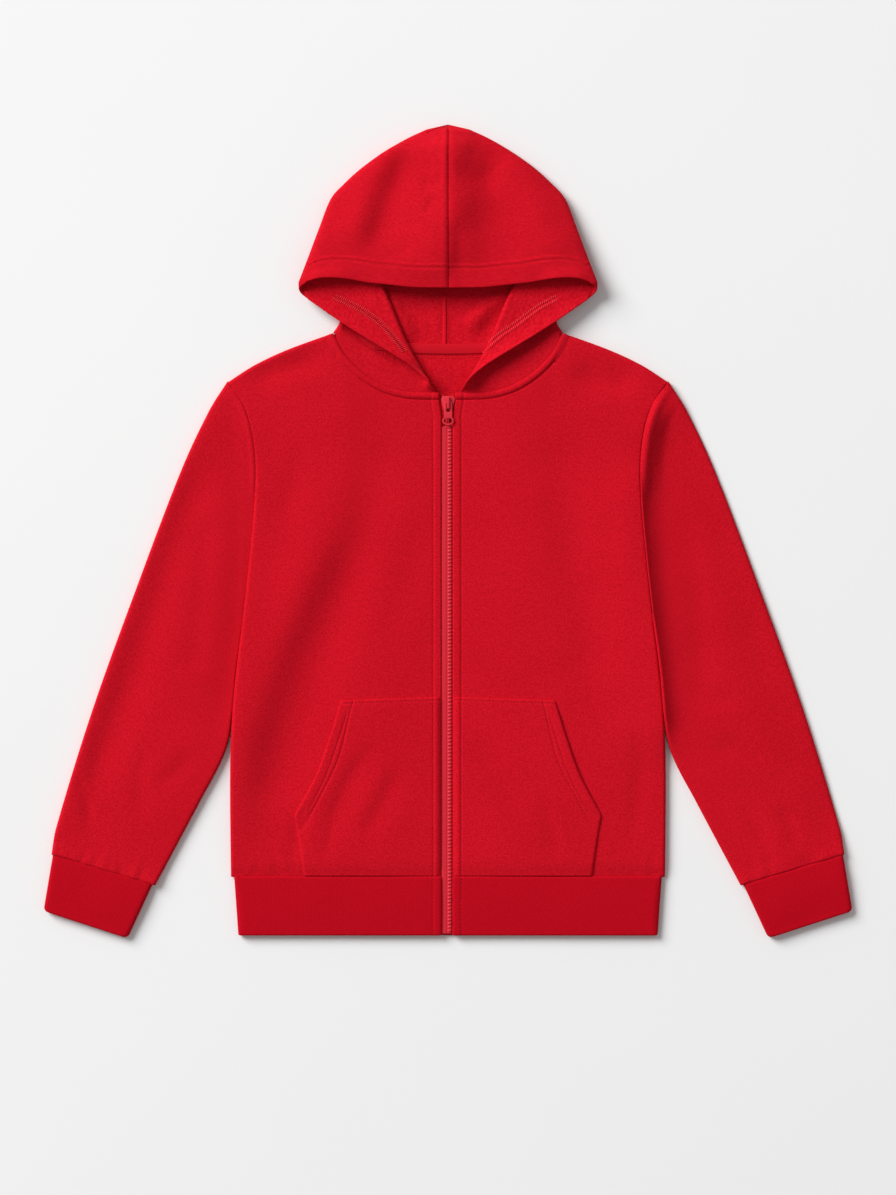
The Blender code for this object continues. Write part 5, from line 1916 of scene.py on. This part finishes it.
    def rows(self, side: Side) -> list[Array]:
        """Rows of half the hood, from the neck seam to its top."""
        made = []
        for t in np.linspace(0.0, 1.0, self.lapel_lines):
            row = table_at(LAPEL_COLUMNS, LAPEL_ROWS, t)
            target = np.array((row["edge_x"], row["edge_y"], row["edge_z"]))
            row["rise"] = self.flap_rise * math.sin(math.pi * t)
            made.append(self.lower_layers(row, target))
        crown = []
        brim, others = self.brim_lines, self.crown_lines - self.brim_lines
        shares = np.concatenate((np.linspace(0.0, self.brim_share, brim, endpoint=False),
                                 np.linspace(self.brim_share, 1.0, others)))
        for t in shares:
            row, behind, ahead = (table_at(CROWN_COLUMNS, CROWN_ROWS, place)
                                  for place in (t, max(t - self.nearby, 0.0),
                                                min(t + self.nearby, 1.0)))
            along = heading((behind["rim_x"], behind["rim_y"]), (ahead["rim_x"], ahead["rim_y"]))
            bowed = float(1 - smooth(np.array(t * self.bow_fade)))
            crown.append(self.crown_row(row, np.array((along[1], -along[0])), bowed,
                                        self.straight[side]))
        made += self.corner_rows(made[-1], crown[0])
        return made + crown + [np.array(((0.0, HOOD_TOP, BACK_LEVEL + self.top_rise),))]

    def corner_rows(self, last: Array, first: Array) -> list[Array]:
        """Rows between the lapel and the crown, where the free edge curls up into the rim."""
        count = self.lower_count
        curl = first[count - 1:count + self.arc]
        outward = heading(curl[0], curl[self.arc // 2])
        along = heading(last[-1], curl[0])
        below = np.array((along[1], -along[0]))
        reach = np.clip(1 - (count - 1 - np.arange(count)) / self.lapel_run, 0.0, 1.0) ** 2
        rows = []
        for t in np.arange(1, self.corner_lines + 1) / (self.corner_lines + 1):
            row = mix(last, first[:count], t)
            row[:, :2] += below * (reach * self.corner_bulge * math.sin(math.pi * t))[:, None]
            angle = math.pi * t ** 1.6 * np.arange(1, self.arc + 1) / self.arc
            way = mix(below, outward, t)
            way = way / np.linalg.norm(way)
            lip = np.column_stack((np.outer(np.sin(angle) * self.rim, way),
                                   self.rim * (1 - np.cos(angle))))
            rows.append(np.concatenate((row, row[-1] + lip)))
        return rows

    def build_half(self, side: Side) -> Piece:
        """Half the hood."""
        rows = self.rows(side)
        self.crown_at = self.lapel_lines + self.corner_lines
        placed = [self.placed(row, side) for row in rows]
        starts = np.concatenate(([0], np.cumsum([len(row) for row in rows])))
        crown = self.crown_at
        wide = len(rows[crown])
        upper = np.concatenate([np.arange(starts[r] + wide - self.upper_run, starts[r] + wide)
                                for r in range(crown, crown + self.crown_lines)])
        cloth = cloth_of_rows("hood_" + side.label + "_cloth", placed, CLOTH, upward=upper)
        cloth.lifted(self.relief(cloth, rows, starts, side))
        piece = dress(cloth, "sweatshirt_knit", "hood_" + side.label, self.finishes.shell)
        self.sew_half(cloth, rows, starts, piece, side)
        return piece

    def placed(self, row: Array, side: Side) -> Array:
        """Row on its side of the garment, the back layer drawn towards the back seam."""
        floor = np.arange(len(row)) <= self.floor_run
        below = floor * (row[:, 1] < self.seam_end)
        shift = self.back_seam * smooth(1 - row[:, 0] / self.seam_width) * below
        x = side.value * (row[:, 0] + self.middle_gap) + shift
        return np.column_stack((x, row[:, 1], row[:, 2]))

    def face_distance(self, rows: list[Array], starts: Array) -> Array:
        """Distance of each point from the free edge round the face."""
        away = np.full(int(starts[-1]), self.far)
        crown = self.crown_at
        for r in range(crown):
            away[starts[r]:starts[r + 1]] = run_along(rows[r][::-1])[::-1]
        tall = [rows[r] for r in range(crown, crown + self.crown_lines)]
        for c in range(self.lower_count - 1, len(tall[0])):
            run = run_along(np.array([row[c] for row in tall]))
            away[starts[crown:crown + self.crown_lines] + c] = run
        return away

    def zones(self, rows: list[Array], starts: Array) -> dict[str, Array]:
        """Which points are on the crown, the flap, the back's inside and the outer strip."""
        found = {name: np.zeros(int(starts[-1]), bool)
                 for name in ("crown", "flap", "floor", "strip")}
        side = self.floor_run + self.arc + 1
        turned = self.floor_run + self.middle_run + 2 * self.arc + 1
        wide = len(rows[self.crown_at])
        for r in range(self.crown_at + self.crown_lines):
            found["floor"][starts[r]:starts[r] + self.floor_run + 1] = True
            if r < self.crown_at:
                found["strip"][starts[r] + side:starts[r] + side + self.middle_run] = True
                found["flap"][starts[r] + turned:starts[r] + turned + self.lapel_run] = True
            else:
                found["crown"][starts[r] + wide - self.upper_run - 3:starts[r] + wide] = True
        return found

    def relief(self, cloth: Cloth, rows: list[Array], starts: Array, side: Side) -> Array:
        """How far each point of the hood stands out of the plain form."""
        away = self.face_distance(rows, starts)
        zones = self.zones(rows, starts)
        x, y, z = cloth.points.T
        a = np.abs(x)
        hem = (self.hem_rise * band(away, self.hem) - groove(away - self.sewn, *self.hem_groove)
               + self.brim_puff * bell(away, self.brim_reach) * self.brim_span.at(a))
        folds = (creased(CROWN_CREASES, x, y) * past(z, *self.creased_from)
                 + ripple(x * self.ripple_scale, y * self.ripple_scale, self.uneven))
        seam = sum(height * bell(a - place, wide) for height, place, wide in self.crown_seam[side])
        near, sign, _ = distance_to(x, y, Line(COVER_STITCH[side]).sampled(40))
        cover = (self.cover_rise * past(near * sign * side.value, -0.8, 1.6)
                 - groove(near, *self.cover_groove))
        from_seam = x - self.back_seam
        height, place, wide = self.neck_ridge
        inside = (creased(NECK_FOLDS, x, y) - groove(from_seam, *self.neck_groove)
                  - inside_rise(x, y) + height * bell(from_seam - place, wide))
        return (zones["crown"] * (hem - folds + seam) - zones["flap"] * cover
                + zones["floor"] * inside - zones["strip"] * creased(STRIP_FOLDS, x, y))

    def brim_line(self, cloth: Cloth, rows: list[Array], starts: Array, distance: float,
                  lift: float) -> Array:
        """Line at a distance from the brim, over the crown, from the rim to the crown seam."""
        line = []
        wide = len(rows[self.crown_at])
        levels = range(self.crown_at, self.crown_at + self.brim_lines)
        for c in range(wide - self.upper_run - 2, wide):
            index = np.array([starts[r] + c for r in levels])
            points = cloth.points[index]
            run = run_along(points)
            place = [np.interp(distance, run, points[:, k]) for k in range(3)]
            normal = [np.interp(distance, run, cloth.normals[index][:, k]) for k in range(3)]
            line.append(np.array(place) + np.array(normal) * lift)
        return np.array(line)

    def sew_half(self, cloth: Cloth, rows: list[Array], starts: Array,
                 piece: Piece, side: Side) -> None:
        """Note the sewn lines of half the hood."""
        self.lines.append(self.brim_line(cloth, rows, starts, self.sewn, LAID_THREAD))
        fine = Line(COVER_STITCH[side]).sampled(46)
        way = directions(fine)
        across = np.stack((-way[:, 1], way[:, 0]), -1) * self.ladder / 2
        for centre, half in zip(fine, across + way * 0.5):
            line = laid(piece, np.array((centre - half, centre + half)), 0.3)
            if len(line) == 2:
                self.ladders.append(line)

    def build_tape(self) -> Piece:
        """Tape over the back neck seam, on the inside."""
        level = CLOTH + 0.3 + NECK_TAPE / 2
        x = np.linspace(-84.0, 84.0, 85)
        rows = []
        for across in (6.4, 6.0, 4.6, 3.0, 1.4, 0.0, -1.2, -1.6):
            y = height_on(BACK_NECK, np.abs(x)) + across
            rise = 0.5 * math.cos((across - 2.4) / 4.0 * math.pi / 2)
            rows.append(np.column_stack((x, y, level + rise + inside_rise(x, y))))
        cloth = cloth_of_rows("neck_tape_cloth", rows, NECK_TAPE, centre=42)
        piece = dress(cloth, "woven_tape", "neck_tape", (self.finishes.tape,))
        top = CLOTH + 0.15
        for below in (3.2, 5.4):
            y = height_on(BACK_NECK, np.abs(x)) - below
            self.lines.append(np.column_stack((x, y, top + inside_rise(x, y))))
        return piece

    def build(self) -> None:
        """Both halves and the neck tape."""
        for side in Side:
            self.build_half(side)
        self.build_tape()


# ---- Pockets ---------------------------------------------------------------
@dataclass
class Pockets:
    """The two patch pockets, their mouths slanting to the sides."""

    finishes: Wardrobe
    lift: float = 0.5           # how far the mouth stands open
    lift_power: int = 5
    mouth_ends: float = 6.0     # how soon it opens from its ends
    mouth_rise: Pair = (0.3, 7.0)    # height and width of its raised edge
    lay: float = 0.35           # gap to the front
    least: float = 3.4          # least height of the front below it
    shown: float = 0.9          # share of its creases
    calm: float = 20.0          # width below its top over which they fade in
    top_groove: Pair = (0.45, 0.7)    # depth and width
    top_stitch: float = 2.4
    stitch_wide: float = 0.9
    facing_groove: float = 0.7
    mouth_groove: float = 0.6
    zip_groove: float = 0.6
    zip_rise: float = 0.4
    zip_sink: Pair = (1.6, 2.2)    # depth and width of its inner edge's drop
    side_roll: float = 1.2
    top_roll: float = 1.1
    width: float = 110.0
    height: float = 156.0
    to_zip: float = 0.7         # gap between the pocket and the front's edge
    mouth_stitch: float = 7.9   # how far the outer sewn line lies from the mouth
    lines: list[Array] = field(default_factory=list)
    # The sewn line of the mouth's facing
    facing: Points = ((83.0, -148.5), (86.5, -162.0), (95.9, -199.3), (109.5, -227.9),
                      (126.2, -258.7), (131.6, -264.4))

    def build_one(self, side: Side) -> Piece:
        """One pocket."""
        outer = Bent(POCKET_MOUTH, POCKET_SIDE)
        inner = ZIP_EDGE[side] + self.to_zip
        top = np.array(((inner, POCKET_TOP[0][1]), POCKET_TOP[1]))
        foot = np.array(((inner, POCKET_SIDE[-1][1]), POCKET_SIDE[-1]))
        s = spread((0.0, 12.0, 0.7), (12.0, 100.0, 1.5), (100.0, 120.0, 0.9))
        t = spread((0.0, 6.0, 0.7), (6.0, 150.0, 2.0), (150.0, 156.0, 0.9))
        S, T = np.meshgrid(s / s[-1], t / t[-1])
        plan = coons(lambda u: mix(top[0], top[1], u[..., None]),
                     lambda u: mix(foot[0], foot[1], u[..., None]),
                     lambda u: mix(top[0], foot[0], u[..., None]), outer.at, S, T)
        x = plan[..., 0] * side.value
        y = plan[..., 1]
        cloth = cloth_of_rows("pocket_" + side.label + "_cloth",
                              list(np.stack((x, y, self.surface(side, x, y, S, T)), -1)), CLOTH)
        piece = dress(cloth, "sweatshirt_knit", "pocket_" + side.label, self.finishes.shell)
        self.sew_one(side)
        return piece

    def surface(self, side: Side, x: Array, y: Array, s: Array, t: Array) -> Array:
        """Height of the middle of the pocket's cloth."""
        a = np.abs(x)
        corner = Bent(POCKET_MOUTH, POCKET_SIDE).corner
        along = np.minimum(t / corner, 1.0) * self.mouth_ends
        mouth = smooth(along) * smooth((corner - t) / corner * self.mouth_ends)
        to_mouth = away_from(a, y, POCKET_MOUTH, 24)
        to_side = away_from(a, y, POCKET_SIDE, 12)
        to_facing = away_from(a, y, self.facing, 40)
        to_zip = a - ZIP_EDGE[side]
        (x0, y0), (x1, y1) = POCKET_TOP
        to_top = -(y - mix(y0, y1, np.clip((a - x0) / (x1 - x0), 0.0, 1.0)))
        front = front_level(x, y) - creased(FRONT_CREASES, x, y)
        level = np.maximum(front, self.least) + CLOTH + self.lay
        level = level - creased(POCKET_CREASES, x, y) * smooth(to_top / self.calm) * self.shown
        rise, wide = self.mouth_rise
        level = level + self.lift * s ** self.lift_power * mouth
        level = level + rise * bell(to_mouth, wide) * mouth
        level = level - groove(to_top - self.top_stitch, *self.top_groove)
        level = level - groove(to_facing, self.facing_groove, self.stitch_wide)
        level = level - mouth * groove(to_mouth - self.mouth_stitch, self.mouth_groove,
                                       self.stitch_wide)
        level = level + self.zip_rise * band(to_zip, ZIP_FACING)
        level = level - groove(to_zip - ZIP_FACING, self.zip_groove)
        for away, radius in ((to_mouth, self.side_roll), (to_side, self.side_roll),
                             (to_top, self.top_roll)):
            level = level - edge_roll(away, radius)
        depth, wide = self.zip_sink
        return level - seam_sink(y) - depth * bell(to_zip, wide)

    def sew_one(self, side: Side) -> None:
        """Note the sewn lines of one pocket."""
        facing = Line(self.facing).sampled(60)[3:]
        top = mix(np.array((14.0, -148.9)), np.array((91.0, -151.6)),
                  np.linspace(0, 1, 40)[:, None])
        zip_line = np.column_stack((np.full(50, ZIP_EDGE[side] + ZIP_FACING),
                                    np.linspace(POCKET_TOP[0][1] - 1.0, HEM_SEAM + 1.5, 50)))
        outer = aside(Line(POCKET_MOUTH).sampled(60), -self.mouth_stitch)[3:-4]
        for line in (facing, outer, top, zip_line):
            a, y = line.T
            x = a * side.value
            s = np.clip((a - POCKET_TOP[0][0]) / self.width, 0.0, 1.0)
            t = np.clip((POCKET_TOP[0][1] - y) / self.height, 0.0, 1.0)
            self.lines.append(np.stack((x, y, self.surface(side, x, y, s, t) + LAID_THREAD), -1))

    def build(self) -> None:
        """Both pockets."""
        for side in Side:
            self.build_one(side)


# ---- Zip -------------------------------------------------------------------
@dataclass
class Zip:
    """Tapes, teeth, slider and pull tab of the closed zip."""

    finishes: Wardrobe
    chain_half: float = 3.2     # half the width across the teeth
    tape_width: float = 12.0
    tooth_pitch: float = 3.2
    tooth_height: float = 1.5
    cord_level: float = 5.0     # top of the corded edges
    cord_top: float = 91.5      # where they come out of the slider
    end: float = HEM_END + 0.6
    slider_top: float = 118.6
    slider_length: float = 12.0
    # The tape's edge: distance from its start and height
    cord_profile: Points = ((0.0, 0.0), (0.3, 0.35), (0.8, 0.5), (1.3, 0.45), (1.8, 0.2),
                            (2.4, 0.0), (3.6, 0.0), (6.0, 0.0), (9.0, 0.0), (11.6, 0.0),
                            (12.0, 0.0))
    tooth_outline: Points = ((-2.2, -0.5), (-0.6, -0.6), (-0.1, -0.82), (0.55, -0.82), (1.0, -0.4),
                             (1.0, 0.4), (0.55, 0.82), (-0.1, 0.82), (-0.6, 0.6), (-2.2, 0.5))
    tooth_foot: float = 0.7     # how far a tooth goes down into the cord
    tooth_levels: Points = ((-0.7, 1.0), (0.45, 1.0), (0.8, 0.78))      # height and width
    # The row's turn, its shift along in pitches, its place across and its height over the strip
    tooth_rows: dict[Side, tuple[float, float, float, float]] = sides(
        (0.0, 0.0, -1.0, -0.45), (math.pi, 0.5, 0.8, 0.6))
    strip_right: float = 0.7    # gap between the strip and the right front
    strip_foot: float = -1.6
    sunk: Pair = (-1.7, 0.4)    # depth and share of width inside the slider
    slider_round: float = 0.35
    pull_round: float = 0.3

    def build_tape(self, side: Side) -> Piece:
        """One tape, with its corded edge beside the teeth."""
        a, rise = np.array(self.cord_profile).T
        a = a + (self.chain_half + 0.3)
        rows = [np.column_stack((a * side.value, np.full(len(a), y), ZIP_TAPE_LEVEL + rise))
                for y in spread((self.end, ZIP_TOP - 1.0, 3.0))[::-1]]
        cloth = cloth_of_rows("zip_tape_" + side.label + "_cloth", rows, ZIP_TAPE)
        piece = dress(cloth, "woven_tape", "zip_tape_" + side.label, (self.finishes.tape,))
        return piece

    def tooth(self) -> bpy.types.Mesh:
        """One moulded tooth: a leg on the strip and a head over the middle."""
        outline = self.tooth_outline
        bm = bmesh.new()
        rings = []
        for z, grow in self.tooth_levels:
            narrow, back = 0.5 + grow / 2, 0.1 * (1 - grow)
            rings.append([bm.verts.new(((x * narrow - back) * MM, y * grow * MM, z * MM))
                          for x, y in outline])
        for low, high in zip(rings, rings[1:]):
            for k in range(len(outline)):
                n = (k + 1) % len(outline)
                bm.faces.new((low[k], low[n], high[n], high[k]))
        bm.faces.new(rings[-1])
        bm.faces.new(rings[0][::-1])
        mesh = bpy.data.meshes.new("zip_tooth")
        bm.to_mesh(mesh)
        bm.free()
        mesh.shade_smooth()
        return mesh

    @staticmethod
    def row_tree() -> bpy.types.NodeTree:
        """Node tree that repeats a tooth along an edge."""
        made = Rows("teeth", Tooth="Object", Turn="Float")
        tooth = made.node("GeometryNodeObjectInfo", None, {"Object": made.given["Tooth"]})
        turn = made.node("ShaderNodeCombineXYZ", None, {"Z": made.given["Turn"]})
        return made.laid(tooth.outputs["Geometry"], turn.outputs[0])

    def build_teeth(self) -> Piece:
        """The chain: two rows of teeth that mesh in the middle."""
        template = added("zip_tooth", self.tooth())
        tree = self.row_tree()
        rows = []
        for side, (turn, shift, x, over) in self.tooth_rows.items():
            mesh = bpy.data.meshes.new("zip_row")
            start = self.end + 1.0 + shift * self.tooth_pitch
            z = self.cord_level + over - self.tooth_height + self.tooth_foot
            ends = ((x, start, z), (x, self.cord_top, z))
            mesh.from_pydata([tuple(c * MM for c in p) for p in ends], [(0, 1)], [])
            rows.append(grown("zip_row_" + side.label, mesh, tree,
                              {"Tooth": template, "Pitch": self.tooth_pitch * MM, "Turn": turn,
                               "Finish": self.finishes.teeth}))
        bpy.data.objects.remove(template)
        piece = joined("zip_teeth", rows, self.finishes.teeth)
        return wear(piece, "garment", "zip_plastic", "zip_chain")

    def build_cords(self) -> Piece:
        """The corded edges that carry the teeth, as one strip that sinks into the slider."""
        left, right = self.strip_right - ZIP_EDGE[Side.RIGHT], self.chain_half
        foot = self.strip_foot
        profile = ((left, foot), (left, -0.3), (left + 0.5, 0.0), (-1.9, 0.0), (-1.3, -0.35),
                   (2.7, -0.35), (right, -0.6), (right, foot))
        hidden = self.slider_top - self.slider_length + 1.0
        rows = ((self.end, 0.0, 1.0), (self.cord_top, 0.0, 1.0), (self.cord_top + 0.8, *self.sunk),
                (hidden, *self.sunk))
        points = [(x * wide * MM, y * MM, (self.cord_level + z + sunk) * MM)
                  for y, sunk, wide in rows for x, z in profile]
        count = len(profile)
        last = count * (len(rows) - 1)
        faces = [(row + k, row + (k + 1) % count, row + count + (k + 1) % count, row + count + k)
                 for row in range(0, last, count) for k in range(count)]
        faces += [tuple(range(count))[::-1], tuple(range(last, last + count))]
        mesh = bpy.data.meshes.new("zip_cords")
        mesh.from_pydata(points, [], faces)
        layer = mesh.uv_layers.new(name="cloth")
        places = np.array([points[loop.vertex_index][:2] for loop in mesh.loops], np.float32)
        layer.data.foreach_set("uv", places.ravel())
        mesh.materials.append(self.finishes.cord)
        return wear(added("zip_cords", mesh), "garment", "woven_tape")

    def rounded(self, node: str, name: str, radius: float) -> Piece:
        """A CAD node's solid with its edges rounded, as a new piece."""
        bm = bmesh.new()
        bm.from_mesh(frame["nodes"][node].data)
        bmesh.ops.remove_doubles(bm, verts=bm.verts, dist=1e-6)
        bmesh.ops.dissolve_limit(bm, angle_limit=math.radians(1.0), verts=bm.verts, edges=bm.edges)
        mesh = bpy.data.meshes.new(name)
        bm.to_mesh(mesh)
        bm.free()
        source = added(name + "_start", mesh)
        bevel = source.modifiers.new("Round", "BEVEL")
        bevel.width = radius * MM
        bevel.segments = 3
        bevel.limit_method = "ANGLE"
        bevel.angle_limit = math.radians(32.0)
        made = evaluated(source)
        made.materials.clear()
        made.materials.append(self.finishes.enamel)
        made.shade_smooth()
        return added(name, made)

    def build(self) -> None:
        """All of the zip."""
        for side in Side:
            self.build_tape(side)
        self.build_teeth()
        self.build_cords()
        wear(self.rounded("zip_slider", "slider_body", self.slider_round), "garment", "zip_metal",
             "zip_slider")
        wear(self.rounded("zip_pull", "pull_tab_plate", self.pull_round), "pull_tab", "zip_metal",
             "zip_pull")


def joined(name: str, parts: Sequence[Piece], finish: Paint) -> Piece:
    """Several pieces as one, in one finish."""
    bm = bmesh.new()
    for part in parts:
        bm.from_mesh(part.data)
    mesh = bpy.data.meshes.new(name)
    bm.to_mesh(mesh)
    bm.free()
    mesh.materials.append(finish)
    mesh.polygons.foreach_set("material_index", [0] * len(mesh.polygons))
    mesh.shade_smooth()
    for part in parts:
        bpy.data.objects.remove(part)
    return added(name, mesh)


# ---- Studio ----------------------------------------------------------------
@dataclass
class Studio:
    """Pale surface, soft light from the upper left, and the camera straight above."""

    pixel: float = 0.88         # mm on the surface for each pixel
    frame_height: int = 1195
    middle: Pair = (0.0, -58.5)
    distance: float = 4.2       # of the camera, in m
    sensor: float = 36.0
    floor_half: float = 6.0     # size of the floor and its drop below the garment, in m
    floor_drop: float = 0.0004
    key: float = 2450.0         # strength of the window light
    key_from: tuple[float, float, float] = (-0.64, 0.52, 0.57)
    key_away: float = 14.0      # how far the window is, in m
    key_size: float = 8.6       # and how wide
    room: float = 0.33          # light of the room

    def build(self) -> None:
        """Floor, light, world and camera."""
        self.floor()
        self.light()
        world = bpy.data.worlds.new("soft_room")
        world.use_nodes = True
        inputs = world.node_tree.nodes["Background"].inputs
        for socket, value in zip(inputs, ((1.0, 1.0, 1.0, 1.0), self.room)):
            socket.default_value = value
        bpy.context.scene.world = world
        bpy.context.scene.view_settings.view_transform = "Standard"
        data = bpy.data.cameras.new("camera")
        data.sensor_width = self.sensor
        data.lens = self.sensor * self.distance / (self.frame_height * self.pixel * MM)
        camera = added("camera", data)
        camera.location = (self.middle[0] * MM, self.middle[1] * MM, self.distance)
        bpy.context.scene.camera = camera

    def floor(self) -> None:
        """The surface that the garment lies on."""
        mesh = bpy.data.meshes.new("floor")
        corners = [(x * self.floor_half, y * self.floor_half, -self.floor_drop)
                   for x, y in ((-1, -1), (1, -1), (1, 1), (-1, 1))]
        mesh.from_pydata(corners, [], [(0, 1, 2, 3)])
        mesh.materials.append(Paper().material())
        made = added("floor", mesh)

    def light(self) -> None:
        """Wide window light from the upper left."""
        data = bpy.data.lights.new("window", "AREA")
        data.energy = self.key
        data.shape = "DISK"
        data.size = self.key_size
        made = added("window", data)
        made.location = Vector(self.key_from).normalized() * self.key_away
        made.rotation_euler = Vector(self.key_from).to_track_quat("Z", "Y").to_euler()


def main() -> None:
    """Build the hoodie and the studio."""
    logging.basicConfig(level=logging.INFO, format="%(message)s")
    finishes = Wardrobe()
    body = Body(finishes)
    bands = Bands(finishes)
    sleeves = Sleeves(finishes)
    hood = Hood(finishes)
    pockets = Pockets(finishes)
    zip_parts = Zip(finishes)
    for part in (zip_parts, body, bands, sleeves, hood, pockets):
        part.build()
    sewing = Sewing()
    lines = {"body_stitches": body.lines, "hem_stitches": bands.lines, "hood_stitches": hood.lines,
             "pocket_stitches": pockets.lines}
    for seed, (name, noted) in enumerate(lines.items()):
        wear(sewing.sew(name, noted, finishes.thread, seed=seed), "garment", "sweatshirt_knit")
    wear(sewing.sew("hood_cover_stitches", hood.ladders, finishes.cover, pitch=9.0, length=3.8,
                    thread=0.85), "garment", "sweatshirt_knit")
    Studio().build()


if __name__ == "__main__":
    main()
